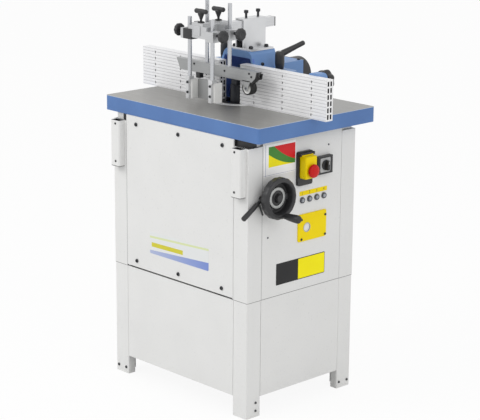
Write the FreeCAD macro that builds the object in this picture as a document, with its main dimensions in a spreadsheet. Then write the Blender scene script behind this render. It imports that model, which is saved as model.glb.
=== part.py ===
import FreeCAD, Part
import os
import re

import Sketcher

# Spindle moulder, millimetres. X runs along the fence to the operator's right, Y to the back, Z up.
# The origin is on the floor under the middle of the cabinet.

doc = FreeCAD.newDocument("spindle_moulder")
sheet = doc.addObject("Spreadsheet::Sheet", "Sizes")

sizes = {
    # Cabinet
    "cabinet_x": 573, "cabinet_y": 428, "leg_x": 57, "leg_y": 55, "leg_sheet": 2.5,
    "seat_depth": 3, "seat_width": 8, "seam_z": 344.5, "top_frame_high": 20, "panel_bottom_z": 58,
    "panel_sheet": 2, "panel_gap": 0.4, "cover_proud": 1.5, "cover_skin": 2, "cover_bottom_gap": 5,
    "frame_inset": 8, "frame_bar": 26, "foot_plate": 4, "foot_size": 44, "anchor_r": 5.5, "anchor_inset": 30,
    "screw_head_r": 5, "screw_head_high": 3, "cover_screw_x": 184, "cover_screw_edge": 24,
    "bolt_head_r": 5.5, "bolt_head_high": 4, "bolt_low_z": 19, "bolt_pitch": 34, "bolt_edge": 12,
    "bolt_rise": 24, "vertical_bolt_in": 36,
    "socket_wide": 38, "socket_deep": 22, "socket_low_z": 648, "socket_high": 138, "socket_sheet": 2.5,
    "socket_round": 6,
    # Table
    "table_x": 650, "table_y": 465, "table_top_z": 850, "table_edge": 44, "table_plate": 18, "rim_wall": 14,
    "spindle_y": 20, "table_corner_r": 7, "boss_r": 104, "boss_drop": 20,
    "opening_r": 82, "ring_ledge": 6, "ring_thick": 10, "ring_gap": 0.3, "ring_middle_r": 58,
    "ring_inner_r": 38, "ring_step": 4,
    # Switch and lamps on the right face
    "switch_y": 2, "switch_z": 702, "switch_wide": 58, "switch_high": 98, "switch_base_thick": 8,
    "flap_wide": 46, "flap_high": 65, "flap_deep": 24, "flap_wall": 2.5, "flap_gap": 0.5, "hinge_r": 4,
    "flap_up": 5.5, "switch_corner_r": 6,
    "stop_r": 18, "stop_proud": 12, "stop_stem_r": 7, "stop_down": 3, "start_r": 9, "start_high": 9,
    "start_up": 18, "start_travel": 5, "stop_lift": 5, "button_gap": 0.3,
    "selector_y": 79, "selector_z": 700, "selector_wide": 60, "selector_high": 52, "selector_thick": 12,
    "selector_knob_r": 15, "selector_knob_high": 15, "selector_grip_wide": 9, "selector_grip_high": 10,
    "lamp_first_y": -1, "lamp_pitch": 29.3, "lamp_z": 607.5, "lamp_r": 9, "lamp_high": 5, "lens_r": 6,
    "window_y": 40, "window_z": 526, "window_wide": 115, "window_high": 80, "window_thick": 3,
    "window_hole_r": 13, "window_hole_in": 34,
    # Height control
    "wheel_y": -135, "wheel_z": 643.5, "wheel_r": 60, "wheel_rim_in_r": 44, "wheel_out": 16, "wheel_deep": 38,
    "wheel_rim_deep": 28, "wheel_web_low": 14, "wheel_web": 8, "wheel_bevel": 5, "wheel_hub_r": 17,
    "wheel_hub_set": 8, "wheel_hub_cap": 4, "shaft_r": 8, "shaft_gap": 0.05, "grip_arm": 51,
    "grip_angle": -77,
    "grip_r": 10, "grip_long": 56, "grip_pin_r": 4, "grip_gap": 0.3,
    "bush_r": 15, "bush_long": 14,
    "bracket_plate": 10, "screw_x": 88, "screw_r": 9, "gear_r": 22, "gear_small_r": 12, "gear_gap": 0.4,
    "screw_gap": 0.3, "bearing_arm_thick": 12, "bearing_arm_wide": 36, "screw_foot_r": 7,
    "lock_y": -168, "lock_z": 641, "lock_hub_r": 8, "lock_hub_long": 11, "lock_arm_r": 5,
    "lock_arm_long": 28, "lock_knob_r": 7.5, "lock_knob_long": 62, "lock_angle": 32, "lock_boss_r": 5,
    "lock_stand": 3.5, "lock_gap": 0.4, "lock_tail_r": 2.5, "lock_tail_long": 42, "lock_tail_lean": 24,
    # Spindle and motor
    "guide_back": 80, "guide_plate": 20, "guide_wide": 150, "guide_low_z": 470, "flange_room": 16,
    "rail_wide": 56,
    "rail_deep": 14, "slide_gap": 0.2, "cheek": 12,
    "quill_r": 40, "quill_low_z": 612, "quill_high": 138, "bearing_r": 26, "bearing_high": 16,
    "spindle_r": 15, "spindle_top_z": 928, "spindle_low_z": 545, "race_gap": 0.05, "collar_high": 10,
    "spacer_r": 24, "spacer_low_z": 790, "spacer_count": 6, "spacer_high": 18, "nut_r": 22, "nut_high": 16,
    "pulley_r": 30, "pulley_high": 30, "pulley_low_z": 550, "motor_pulley_r": 58, "motor_x": -162,
    "motor_r": 70, "motor_high": 165, "motor_shaft_r": 11, "motor_plate_thick": 14, "motor_plate_y": 90,
    "motor_plate_drop": 28, "belt_thick": 4, "belt_wide": 22, "belt_gap": 0.3, "fan_cover_high": 38,
    "nut_arm_thick": 16, "nut_arm_wide": 40, "nut_arm_low_z": 722,
    # Fence
    "fence_y": -13, "fence_thick": 27, "fence_high": 116, "fence_long": 342, "fence_left_x": -388,
    "fence_right_x": 41, "fence_wall": 5, "fence_chambers": 6, "fence_slot_wide": 4, "fence_slot_high": 7,
    "fence_slot_pitch": 114, "fence_groove": 1.4, "slide_clear": 0.3,
    "tower_x": 150, "tower_back": 106, "tower_top_z": 999, "tower_corner_r": 42, "tower_roof": 19,
    "tower_taper": 18, "tower_edge": 9, "taper_z": 950, "hood_top_r": 50, "mouth_half": 66,
    "mouth_top_half": 53, "hood_r": 62, "shoulder_x": 330, "shoulder_z": 950, "shoulder_back": 90, "shoulder_round": 22,
    "wing_x": 345, "wing_thick": 13, "wing_low_z": 872, "wing_high": 88, "pad_x": 308, "pad_half": 24,
    "pad_out": 18, "left_knob_z": 914, "right_knob_z": 948, "wing_slot_half": 26, "stud_r": 6, "stud_gap": 0.6,
    "fence_knob_r": 25, "fence_knob_deep": 28, "knob_lobes": 6,
    "chute_x": 114, "chute_top_z": 953, "chute_back": 230, "chute_wall": 9, "duct_low_z": 862,
    "port_r": 50, "port_wall": 4, "port_z": 903, "port_long": 42, "port_flange": 6,
    "lever_x": 108, "left_lever_x": 122, "lever_y": 80, "lever_hub_r": 15, "lever_hub_high": 52, "lever_arm_long": 76,
    "lever_arm_r": 8, "lever_tip_r": 5.5, "lever_turn": 60, "lever_rise": 25,
    # Hold-down
    "column_x": 34, "column_front": 8, "column_deep": 89, "column_high": 91, "column_sheet": 4,
    "flange_x": 100, "flange_thick": 6,
    "arm_wide": 26, "arm_high": 27, "arm_low_z": 1057.5, "arm_front": -145, "arm_back": 155, "arm_wall": 3,
    "arm_gap": 0.3, "cap_thick": 4, "saddle_high": 18,
    "thumb_front": 26, "thumb_back": 74, "thumb_r": 3.5, "thumb_head_r": 6.5, "thumb_head_high": 10,
    "thumb_high": 22,
    "front_bar_y": -128, "rear_bar_y": -61, "bar_deep": 30, "bar_half": 68, "bar_low_z": 1050,
    "bar_top_z": 1084, "hump_half": 23, "hump_top_z": 1093, "clamp_half": 38, "clamp_low_z": 1044,
    "clamp_top_z": 1073, "clamp_extra": 2, "rod_x": 47.5, "rod_r": 6, "rod_gap": 0.1,
    "front_rod_low_z": 926, "front_rod_top_z": 1106, "rear_rod_low_z": 940, "rear_rod_top_z": 1147,
    "star_z": 1063, "star_r": 18.5, "star_thick": 14, "star_stud_r": 4, "star_stud_long": 12, "star_stand": 17,
    "tee_long": 48, "tee_r": 7, "tee_neck_r": 8, "tee_neck_low": 14, "tee_stud_r": 3.5, "tee_axis_up": 32,
    "beam_half": 170, "beam_low_z": 934, "beam_high": 32, "beam_thick": 18, "beam_slant": 16,
    "roller_x": 124, "roller_z": 914, "roller_r": 19.5, "roller_wide": 24,
    "roller_pin_r": 4, "roller_gap": 0.1, "roller_front": -67, "roller_arm_thick": 6, "roller_side": 0.6,
    "clip_x": 156, "clip_wide": 12, "clip_over": 3, "clip_up": 14,
    "shoe_low_z": 869, "shoe_high": 56, "cheek_thick": 7, "cheek_set": 3.5, "shoe_plate_y": -106,
    "shoe_plate_thick": 6, "holder_wide": 12, "holder_deep": 16, "holder_up": 10,
}

for row, (alias, value) in enumerate(sizes.items(), start=1):
    sheet.set("A%d" % row, alias)
    sheet.set("B%d" % row, str(value))
    sheet.setAlias("B%d" % row, alias)
doc.recompute()

right_face = "cabinet_x / 2"
front_face = "-cabinet_y / 2"
table_low = "table_top_z - table_edge"
post_top = table_low + " - top_frame_high"
fence_low = "table_top_z + slide_clear"
fence_back = "fence_y + fence_thick"

nodes = []
turns = {
    "z": FreeCAD.Rotation(),
    "x": FreeCAD.Rotation(FreeCAD.Vector(0, 1, 0), 90),
    "y": FreeCAD.Rotation(FreeCAD.Vector(1, 0, 0), -90),
}


# An expression in plain size names, with the sheet's name put before each of them
def sized(text):
    def named(match):
        word = match.group(0)
        return "Sizes." + word if word in sizes else word
    return re.sub(r"[a-z_][a-z0-9_]*", named, str(text))


def number(text):
    return float(sheet.evalExpression(sized(text)))


def bind(thing, **properties):
    for name, text in properties.items():
        thing.setExpression(name.replace("__", "."), sized(text))
    return thing


def place(thing, x, y, z, turn=None):
    if turn is not None:
        thing.Placement = FreeCAD.Placement(FreeCAD.Vector(), turn)
    return bind(thing, Placement__Base__x=x, Placement__Base__y=y, Placement__Base__z=z)


def box(name, x, y, z, long, wide, high):
    block = doc.addObject("Part::Box", name)
    bind(block, Length=long, Width=wide, Height=high)
    return place(block, x, y, z)


# A block given by its middle in X and its lowest Y and Z
def mid_box(name, x, y, z, long, wide, high):
    return box(name, "(%s) - (%s) / 2" % (x, long), y, z, long, wide, high)


def rod(name, x, y, z, radius, long, axis="z"):
    bar = doc.addObject("Part::Cylinder", name)
    bind(bar, Radius=radius, Height=long)
    return place(bar, x, y, z, turns[axis])


def cone(name, x, y, z, radius_low, radius_high, long, axis="z"):
    taper = doc.addObject("Part::Cone", name)
    bind(taper, Radius1=radius_low, Radius2=radius_high, Height=long)
    return place(taper, x, y, z, turns[axis])


def ball(name, x, y, z, radius):
    sphere = doc.addObject("Part::Sphere", name)
    bind(sphere, Radius=radius)
    return place(sphere, x, y, z)


def fuse(name, *pieces):
    joined = doc.addObject("Part::MultiFuse", name)
    joined.Shapes = list(pieces)
    joined.Refine = True
    return joined


def cut(name, base, *tools):
    taken = doc.addObject("Part::Cut", name)
    taken.Base = base
    taken.Tool = tools[0] if len(tools) == 1 else fuse(name + "_tools", *tools)
    taken.Refine = True
    return taken


def common(name, *pieces):
    shared = doc.addObject("Part::MultiCommon", name)
    shared.Shapes = list(pieces)
    shared.Refine = True
    return shared


def group(name, *pieces):
    several = doc.addObject("Part::Compound", name)
    several.Links = list(pieces)
    return several


def mirrored(name, source, normal, middle=0):
    copy = doc.addObject("Part::Mirroring", name)
    copy.Source = source
    copy.Normal = FreeCAD.Vector(*normal)
    if middle:
        bind(copy, Base__y=middle)
    return copy


# Rounds the edges that the test picks, on a shape that is up to date
def rounded(name, source, radius, test):
    doc.recompute()
    smooth = doc.addObject("Part::Fillet", name)
    smooth.Base = source
    size = number(radius)
    picked = [i for i, edge in enumerate(source.Shape.Edges, start=1) if test(edge)]
    smooth.Edges = [(i, size, size) for i in picked]
    return smooth


# True for a straight edge along the axis whose middle lies in the given limits
def straight_edge(axis, **limits):
    direction = {"x": FreeCAD.Vector(1, 0, 0), "y": FreeCAD.Vector(0, 1, 0),
                 "z": FreeCAD.Vector(0, 0, 1)}[axis]

    def test(edge):
        if edge.Curve.TypeId != "Part::GeomLine":
            return False
        if abs(edge.tangentAt(edge.FirstParameter).dot(direction)) < 0.999:
            return False
        middle = edge.CenterOfMass
        return all(low <= getattr(middle, side) <= high for side, (low, high) in limits.items())
    return test


# A body with a closed outline of straight lines on one of its own planes
def outline_body(name, plane_role, points, holes=()):
    body = doc.addObject("PartDesign::Body", name)
    sketch = body.newObject("Sketcher::SketchObject", name + "_outline")
    sketch.AttachmentSupport = [(next(f for f in body.Origin.OriginFeatures if f.Role == plane_role), "")]
    sketch.MapMode = "FlatFace"
    for loop in (points, *holes):
        add_loop(sketch, loop)
    return body, sketch


def add_loop(sketch, loop):
    corners = [FreeCAD.Vector(number(x), number(y), 0) for x, y in loop]
    first = sketch.GeometryCount
    count = len(loop)
    for i in range(count):
        sketch.addGeometry(Part.LineSegment(corners[i], corners[(i + 1) % count]), False)
    for i in range(count):
        sketch.addConstraint(Sketcher.Constraint("Coincident", first + i, 2, first + (i + 1) % count, 1))
    for i, point in enumerate(loop):
        for kind, text, value in zip(("DistanceX", "DistanceY"), point, corners[i]):
            index = sketch.addConstraint(Sketcher.Constraint(kind, -1, 1, first + i, 1, value))
            sketch.setExpression("Constraints[%d]" % index, sized(text))


# A plate or bar with a constant section: plane XY grows to +Z, YZ to +X, XZ to +Y
def padded(name, plane_role, points, long, x, y, z, holes=()):
    body, sketch = outline_body(name, plane_role, points, holes)
    pad = body.newObject("PartDesign::Pad", name + "_pad")
    pad.Profile = sketch
    pad.Reversed = plane_role == "XZ_Plane"
    bind(pad, Length=long)
    return place(body, x, y, z)


# A turned piece: its half outline is given as radius and height, and its axis points along the named one
def turned(name, points, x, y, z, axis="z"):
    body, sketch = outline_body(name, "XZ_Plane", points)
    revolve = body.newObject("PartDesign::Revolution", name + "_turn")
    revolve.Profile = sketch
    revolve.ReferenceAxis = (sketch, ["V_Axis"])
    revolve.Angle = 360
    return place(body, x, y, z, turns[axis])


def node(thing, label):
    thing.Label = label
    nodes.append(thing)
    return thing


# Cabinet: folded corner legs with a step that seats the panels
def corner_section(name, low, high):
    step = "seat_depth + leg_sheet"
    return padded(name, "XY_Plane", [
        ("0", "0"), ("leg_x", "0"), ("leg_x", "seat_depth"), ("leg_x + seat_width", "seat_depth"),
        ("leg_x + seat_width", step), ("leg_x - leg_sheet", step), ("leg_x - leg_sheet", "leg_sheet"),
        ("leg_sheet", "leg_sheet"), ("leg_sheet", "leg_y - leg_sheet"), (step, "leg_y - leg_sheet"),
        (step, "leg_y + seat_width"), ("seat_depth", "leg_y + seat_width"), ("seat_depth", "leg_y"),
        ("0", "leg_y")], "(%s) - (%s)" % (high, low), "-cabinet_x / 2", front_face, low)


def four_corners(name, corner):
    right = mirrored(name + "_right", corner, (1, 0, 0))
    back = mirrored(name + "_back", corner, (0, 1, 0))
    return [corner, right, back, mirrored(name + "_right_back", right, (0, 1, 0))]


foot = cut("foot_drilled",
           box("foot_blank", "-cabinet_x / 2 + leg_sheet / 2", front_face + " + leg_sheet / 2", "0",
               "foot_size", "foot_size", "foot_plate"),
           rod("foot_hole", "-cabinet_x / 2 + anchor_inset", front_face + " + anchor_inset", "-1",
               "anchor_r", "foot_plate + 2"))
leg = fuse("leg", corner_section("leg_angle", "0", "seam_z"), foot)
node(group("lower_legs_set", *four_corners("leg_copy", leg)), "lower_legs")

post_corners = four_corners("post_copy", corner_section("post_angle", "seam_z", post_top))


# A flat rectangular frame under the table's edge, shared by the cabinet top and the table's pads
def rectangle_ring(name, low, high):
    wide = "cabinet_x - 2 * frame_inset"
    deep = "cabinet_y - 2 * frame_inset"
    inner_wide = wide + " - 2 * frame_bar"
    inner_deep = deep + " - 2 * frame_bar"
    tall = "(%s) - (%s)" % (high, low)
    return cut(name,
               box(name + "_outer", "-(%s) / 2" % wide, "-(%s) / 2" % deep, low, wide, deep, tall),
               box(name + "_inner", "-(%s) / 2" % inner_wide, "-(%s) / 2" % inner_deep, low,
                   inner_wide, inner_deep, tall))


lock_hole = rod("lock_hole", right_face + " - 5", "lock_y", "lock_z", "lock_boss_r + lock_gap", "10", "x")
node(cut("upper_frame_drilled",
         fuse("upper_frame_joined", *post_corners, rectangle_ring("top_frame", post_top, table_low)),
         lock_hole),
     "upper_frame")

panel_half_x = "cabinet_x / 2 - leg_x - panel_gap"
panel_half_y = "cabinet_y / 2 - leg_y - panel_gap"


def panel_x(name, y, low, high, thick):
    return box(name, "-(%s)" % panel_half_x, y, low, "2 * (%s)" % panel_half_x, thick,
               "(%s) - (%s)" % (high, low))


def panel_y(name, x, low, high):
    return box(name, x, "-(%s)" % panel_half_y, low, "panel_sheet", "2 * (%s)" % panel_half_y,
               "(%s) - (%s)" % (high, low))


panel_in = "seat_depth - panel_sheet"
front_panel_y = "%s + %s" % (front_face, panel_in)
rear_panel_y = "cabinet_y / 2 - seat_depth"
left_panel_x = "-cabinet_x / 2 + " + panel_in
right_panel_x = "cabinet_x / 2 - seat_depth"
node(group("lower_panels_set",
           panel_x("lower_front_panel", front_panel_y, "panel_bottom_z", "seam_z - panel_gap", "panel_sheet"),
           panel_x("lower_rear_panel", rear_panel_y, "panel_bottom_z", "seam_z - panel_gap", "panel_sheet"),
           panel_y("lower_left_panel", left_panel_x, "panel_bottom_z", "seam_z - panel_gap"),
           panel_y("lower_right_panel", right_panel_x, "panel_bottom_z", "seam_z - panel_gap")),
           "lower_panels")
upper_panel_top = table_low + " - panel_gap"
cover_y = front_face + " - cover_proud"
cover_low = "seam_z + cover_bottom_gap"
cover_deep = "cover_proud + seat_depth"
cover_blank = panel_x("cover_blank", cover_y, cover_low, upper_panel_top, cover_deep)
cover_hollow = box("cover_hollow", "-(%s) + cover_skin" % panel_half_x, cover_y + " + cover_skin",
                   cover_low + " + cover_skin", "2 * (%s) - 2 * cover_skin" % panel_half_x, cover_deep,
                   "%s - (%s) - 2 * cover_skin" % (upper_panel_top, cover_low))
node(cut("front_cover_tray", cover_blank, cover_hollow), "front_cover")
node(group("upper_panels_set",
           panel_x("rear_panel_sheet", rear_panel_y, "seam_z", upper_panel_top, "panel_sheet"),
           panel_y("left_panel_sheet", left_panel_x, "seam_z", upper_panel_top)), "upper_panels")
window_hole_y = "window_y - window_wide / 2 + window_hole_in"
node(cut("control_panel_drilled", panel_y("control_sheet", right_panel_x, "seam_z", upper_panel_top),
         rod("control_shaft_hole", right_panel_x + " - 5", "wheel_y", "wheel_z", "bush_r", "20", "x"),
         rod("control_window_hole", right_panel_x + " - 5", window_hole_y, "window_z", "window_hole_r",
             "20", "x")),
     "control_panel")


# Screw heads: a flat cylinder standing on a face
def front_screw(name, x, z):
    return rod(name, x, cover_y + " - screw_head_high", z, "screw_head_r", "screw_head_high", "y")


screws = []
for side, x in enumerate(("-cover_screw_x", "0", "cover_screw_x")):
    screws.append(front_screw("cover_screw_top_%d" % side, x, table_low + " - cover_screw_edge"))
    screws.append(front_screw("cover_screw_low_%d" % side, x, "seam_z + cover_screw_edge"))
for i in range(2):
    along = "bolt_edge + %d * bolt_pitch" % i
    screws.append(rod("leg_bolt_front_%d" % i, "-cabinet_x / 2 + " + along, front_face + " - bolt_head_high",
                      "bolt_low_z", "bolt_head_r", "bolt_head_high", "y"))
    screws.append(rod("leg_bolt_rear_left_%d" % i, "-cabinet_x / 2 + " + along, "cabinet_y / 2",
                      "bolt_low_z", "bolt_head_r", "bolt_head_high", "y"))
    screws.append(rod("leg_bolt_rear_right_%d" % i, right_face, "cabinet_y / 2 - (%s)" % along,
                      "bolt_low_z", "bolt_head_r", "bolt_head_high", "x"))
    screws.append(rod("leg_bolt_near_%d" % i, right_face, front_face + " + vertical_bolt_in",
                      "bolt_low_z + %d * bolt_rise" % i, "bolt_head_r", "bolt_head_high", "x"))
node(group("cabinet_screws_set", *screws), "cabinet_screws")


# Corner socket: a folded channel open at the top and bottom, standing on the front of a post
def corner_socket(name):
    outer = mid_box(name + "_outer", "-cabinet_x / 2 + leg_x / 2", front_face + " - socket_deep",
                    "socket_low_z",
                    "socket_wide", "socket_deep", "socket_high")
    inner = mid_box(name + "_inner", "-cabinet_x / 2 + leg_x / 2",
                    front_face + " - socket_deep + socket_sheet",
                    "socket_low_z - 1", "socket_wide - 2 * socket_sheet", "socket_deep", "socket_high + 2")
    face = number(front_face + " - socket_deep")
    edges = straight_edge("z", y=(face - 0.1, face + 0.1))
    return cut(name, rounded(name + "_bent", outer, "socket_round", edges), inner)


left_socket = corner_socket("left_socket")
node(group("corner_sockets_set", left_socket, mirrored("right_socket", left_socket, (1, 0, 0))),
     "corner_sockets")

# Table: a cast plate with a rim, seating pads over the cabinet frame and a boss for the spindle bracket
table_front = "spindle_y - table_y / 2"
pocket_high = "table_edge - table_plate"
table_block = rounded("table_rounded",
                      box("table_blank", "-table_x / 2", table_front, table_low, "table_x", "table_y",
                          "table_edge"),
                      "table_corner_r", straight_edge("z"))
table_pocket = box("table_pocket", "-table_x / 2 + rim_wall", table_front + " + rim_wall", table_low,
                   "table_x - 2 * rim_wall", "table_y - 2 * rim_wall", pocket_high)
table_cast = fuse("table_cast", cut("table_shell", table_block, table_pocket),
                  rectangle_ring("table_pads", table_low, "table_top_z - table_plate"),
                  rod("table_boss", "0", "spindle_y", "table_top_z - table_plate - boss_drop", "boss_r",
                      "boss_drop"))
node(cut("table_bored", table_cast,
         rod("table_seat", "0", "spindle_y", "table_top_z - ring_thick", "opening_r", "ring_thick + 1"),
         rod("table_bore", "0", "spindle_y", table_low, "opening_r - ring_ledge", "table_edge")), "table")


def flat_ring(name, z, outer, inner, thick):
    return cut(name, rod(name + "_disc", "0", "spindle_y", z, outer, thick),
               rod(name + "_hole", "0", "spindle_y", "(%s) - 1" % z, inner, "(%s) + 2" % thick))


outer_ring = cut("outer_ring_stepped",
                 flat_ring("outer_ring", "table_top_z - ring_thick", "opening_r - ring_gap",
                           "ring_middle_r - ring_ledge", "ring_thick"),
                 rod("outer_ring_seat", "0", "spindle_y", "table_top_z - ring_step", "ring_middle_r",
                     "ring_step + 1"))
inner_ring = flat_ring("inner_ring", "table_top_z - ring_step", "ring_middle_r - ring_gap", "ring_inner_r",
                       "ring_step")
node(group("table_rings_set", outer_ring, inner_ring), "table_rings")

# Main switch: base plate, hinged cover box with a stop button, start button beneath
switch_low = "switch_z - switch_high / 2"
plate_out = right_face + " + switch_base_thick"
switch_blank = box("switch_blank", right_panel_x + " + panel_sheet", "switch_y - switch_wide / 2", switch_low,
                   "switch_base_thick + seat_depth - panel_sheet", "switch_wide", "switch_high")
switch_plate = rounded("switch_plate", switch_blank, "switch_corner_r", straight_edge("x"))
hinge_x = plate_out + " + hinge_r + flap_gap"
hinge_z = "switch_z + flap_up + flap_high / 2 + hinge_r"
knuckle_wide = "(switch_wide - flap_wide) / 2 - flap_gap"
knuckles = []
for side in (-1, 1):
    ear_y = "switch_y - switch_wide / 2" if side < 0 else "switch_y + switch_wide / 2 - (%s)" % knuckle_wide
    knuckles.append(box("switch_ear_%d" % (side + 1), plate_out, ear_y, hinge_z + " - hinge_r",
                        "2 * hinge_r + flap_gap", knuckle_wide, "2 * hinge_r"))
start_z = "switch_z + start_up"
start_bore = rod("start_bore", right_face, "switch_y", start_z, "start_r + button_gap",
                 "switch_base_thick + 5", "x")
node(cut("switch_base_bored", fuse("switch_base_joined", switch_plate, *knuckles), start_bore), "switch_base")
node(rod("start_cap", right_face + " + start_travel", "switch_y", start_z, "start_r",
         "switch_base_thick + start_high - start_travel", "x"), "start_button")
flap_low = "switch_z + flap_up - flap_high / 2"
flap_x = plate_out + " + flap_gap"
flap_shell = cut("flap_shell",
                 box("flap_block", flap_x, "switch_y - flap_wide / 2", flap_low, "flap_deep", "flap_wide",
                     "flap_high"),
                 box("flap_hollow", flap_x + " - 1", "switch_y - flap_wide / 2 + flap_wall",
                     flap_low + " + flap_wall",
                     "flap_deep - flap_wall + 1", "flap_wide - 2 * flap_wall", "flap_high - 2 * flap_wall"))
hinge_bar = rod("flap_hinge", hinge_x, "switch_y - flap_wide / 2", hinge_z, "hinge_r", "flap_wide", "y")
hinge_web = box("flap_web", flap_x, "switch_y - flap_wide / 2", flap_low + " + flap_high - flap_wall",
                "2 * hinge_r", "flap_wide", "flap_wall + hinge_r")
stop_z = "switch_z - stop_down"
flap_face = flap_x + " + flap_deep"
stop_bore = rod("stop_bore", flap_face + " - flap_wall - 2", "switch_y", stop_z, "stop_stem_r + button_gap",
                "flap_wall + 4", "x")
node(cut("flap_bored", fuse("flap_joined", flap_shell, hinge_bar, hinge_web), stop_bore), "switch_cover")
node(turned("stop_mushroom", [
    ("0", "-flap_wall - 3"), ("stop_stem_r", "-flap_wall - 3"), ("stop_stem_r", "stop_lift"),
    ("stop_r", "stop_lift"),
    ("stop_r", "stop_lift + stop_proud * 0.45"), ("stop_r * 0.82", "stop_lift + stop_proud * 0.8"),
    ("stop_r * 0.45", "stop_lift + stop_proud * 0.97"), ("0", "stop_lift + stop_proud")],
    flap_face, "switch_y", stop_z, "x"), "stop_button")

# Rotary selector: square plate with a chamfered knob and a grip bar
selector_face = right_face + " + selector_thick"
node(box("selector_block", right_panel_x + " + panel_sheet", "selector_y - selector_wide / 2",
         "selector_z - selector_high / 2", "selector_thick + seat_depth - panel_sheet", "selector_wide",
         "selector_high"), "selector_plate")
selector_disc = rod("selector_disc", selector_face + " + button_gap", "selector_y", "selector_z",
                    "selector_knob_r", "selector_knob_high - selector_grip_high", "x")
selector_bar = box("selector_bar",
                   selector_face + " + button_gap + selector_knob_high - selector_grip_high - 1",
                   "selector_y - selector_grip_wide / 2", "selector_z - selector_knob_r * 0.95",
                   "selector_grip_high + 1", "selector_grip_wide", "2 * selector_knob_r * 0.95")
node(fuse("selector_knob_joined", selector_disc, selector_bar), "selector_knob")

# Four lamps in bright rings
lamp_parts = []
for i in range(4):
    y = "lamp_first_y + %d * lamp_pitch" % i
    base = right_panel_x + " + panel_sheet"
    high = "lamp_high + seat_depth - panel_sheet"
    lamp_parts.append(cut("lamp_ring_%d" % i, cone("lamp_cone_%d" % i, base, y, "lamp_z", "lamp_r",
                                                   "lamp_r * 0.85",
                                                    high, "x"),
                          rod("lamp_well_%d" % i, base + " + 1", y, "lamp_z", "lens_r", "lamp_high + 5",
                              "x")))
    lamp_parts.append(cone("lamp_lens_%d" % i, base + " + 1", y, "lamp_z", "lens_r", "lens_r * 0.7",
                           "lamp_high + 0.5", "x"))
node(group("indicator_lamps_set", *lamp_parts), "indicator_lamps")

# Window plate over a round sight hole
node(cut("window_plate_drilled",
         box("window_blank", right_panel_x + " + panel_sheet", "window_y - window_wide / 2",
             "window_z - window_high / 2", "window_thick + seat_depth - panel_sheet", "window_wide",
             "window_high"),
         rod("window_hole", right_face + " - 5", window_hole_y, "window_z", "window_hole_r", "20", "x")),
     "window_plate")

# Handwheel: a deep rim, a thin web set back in it, a hub and the fixed pin of its grip
wheel_x = right_face + " + wheel_out"
web_top = "wheel_web_low + wheel_web"
rim_low = "wheel_deep - wheel_rim_deep"
wheel_disc = turned("wheel_disc", [
    ("shaft_r + race_gap", "0"), ("wheel_hub_r", "0"), ("wheel_hub_r", "wheel_web_low"),
    ("wheel_rim_in_r", "wheel_web_low"),
    ("wheel_rim_in_r + wheel_bevel", rim_low), ("wheel_r - wheel_bevel", rim_low),
    ("wheel_r", rim_low + " + wheel_bevel"), ("wheel_r", "wheel_deep - wheel_bevel"),
    ("wheel_r - wheel_bevel", "wheel_deep"), ("wheel_rim_in_r + wheel_bevel", "wheel_deep"),
    ("wheel_rim_in_r", "wheel_deep - wheel_bevel"), ("wheel_rim_in_r", web_top), ("wheel_hub_r", web_top),
    ("wheel_hub_r", "wheel_deep - wheel_hub_set"), ("0", "wheel_deep - wheel_hub_set"),
    ("0", "wheel_deep - wheel_hub_set - wheel_hub_cap"), ("shaft_r + race_gap",
                                                          "wheel_deep - wheel_hub_set - wheel_hub_cap")],
    wheel_x, "wheel_y", "wheel_z", "x")
grip_y = "wheel_y + grip_arm * cos(grip_angle * 1 deg)"
grip_z = "wheel_z + grip_arm * sin(grip_angle * 1 deg)"
grip_x = wheel_x + " + wheel_deep + grip_gap"
node(fuse("handwheel_joined", wheel_disc,
          rod("grip_pin", grip_x + " - wheel_rim_deep / 2", grip_y, grip_z, "grip_pin_r",
              "wheel_rim_deep / 2 + grip_long * 0.8", "x")), "handwheel")
node(turned("grip_sleeve", [
    ("grip_pin_r + shaft_gap", "0"), ("grip_r * 0.8", "0"), ("grip_r", "grip_long * 0.7"),
    ("grip_r", "grip_long * 0.93"), ("grip_r * 0.8", "grip_long"), ("0", "grip_long"),
    ("0", "grip_long * 0.82"), ("grip_pin_r + shaft_gap", "grip_long * 0.82")],
    grip_x, grip_y, grip_z, "x"), "handwheel_grip")

# Height drive: the wheel's shaft turns a leadscrew through a pair of bevel gears
shaft_end = "screw_x + gear_r"
shaft_bar = rod("shaft_bar", shaft_end + " - 1", "wheel_y", "wheel_z", "shaft_r",
                wheel_x + " + wheel_deep - wheel_hub_set - wheel_hub_cap - (%s) + 1" % shaft_end, "x")
pinion = cone("shaft_pinion", "screw_x + gear_small_r", "wheel_y", "wheel_z", "gear_small_r - gear_gap",
              "gear_r - gear_gap", "gear_r - gear_small_r", "x")
node(fuse("height_shaft_joined", shaft_bar, pinion), "height_shaft")
screw_low = "wheel_z + gear_r"
upper_arm_z = post_top + " - bearing_arm_thick"
screw_gear = cone("screw_gear", "screw_x", "wheel_y", "wheel_z + gear_small_r", "gear_small_r - gear_gap",
                  "gear_r - gear_gap", "gear_r - gear_small_r")
screw_bar = rod("screw_bar", "screw_x", "wheel_y", screw_low + " - 1", "screw_r",
                "(%s) - (%s) - screw_gap + 1" % (upper_arm_z, screw_low))
screw_tip = rod("screw_tip", "screw_x", "wheel_y", screw_low, "screw_foot_r",
                post_top + " - (%s)" % screw_low)
node(fuse("leadscrew_joined", screw_gear, screw_bar, screw_tip), "leadscrew")
bracket_x = right_panel_x + " - bracket_plate"
arm_left = "screw_x - bearing_arm_wide / 2"
lower_arm_z = screw_low + " + gear_gap"
bracket_parts = [
    box("bracket_back", bracket_x, "wheel_y - bush_r", "wheel_z - bearing_arm_wide / 2",
        "bracket_plate", "bearing_arm_wide", post_top + " - wheel_z + bearing_arm_wide / 2"),
    rod("bracket_bush", bracket_x, "wheel_y", "wheel_z", "bush_r - panel_gap", "bracket_plate + bush_long",
        "x")]
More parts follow.
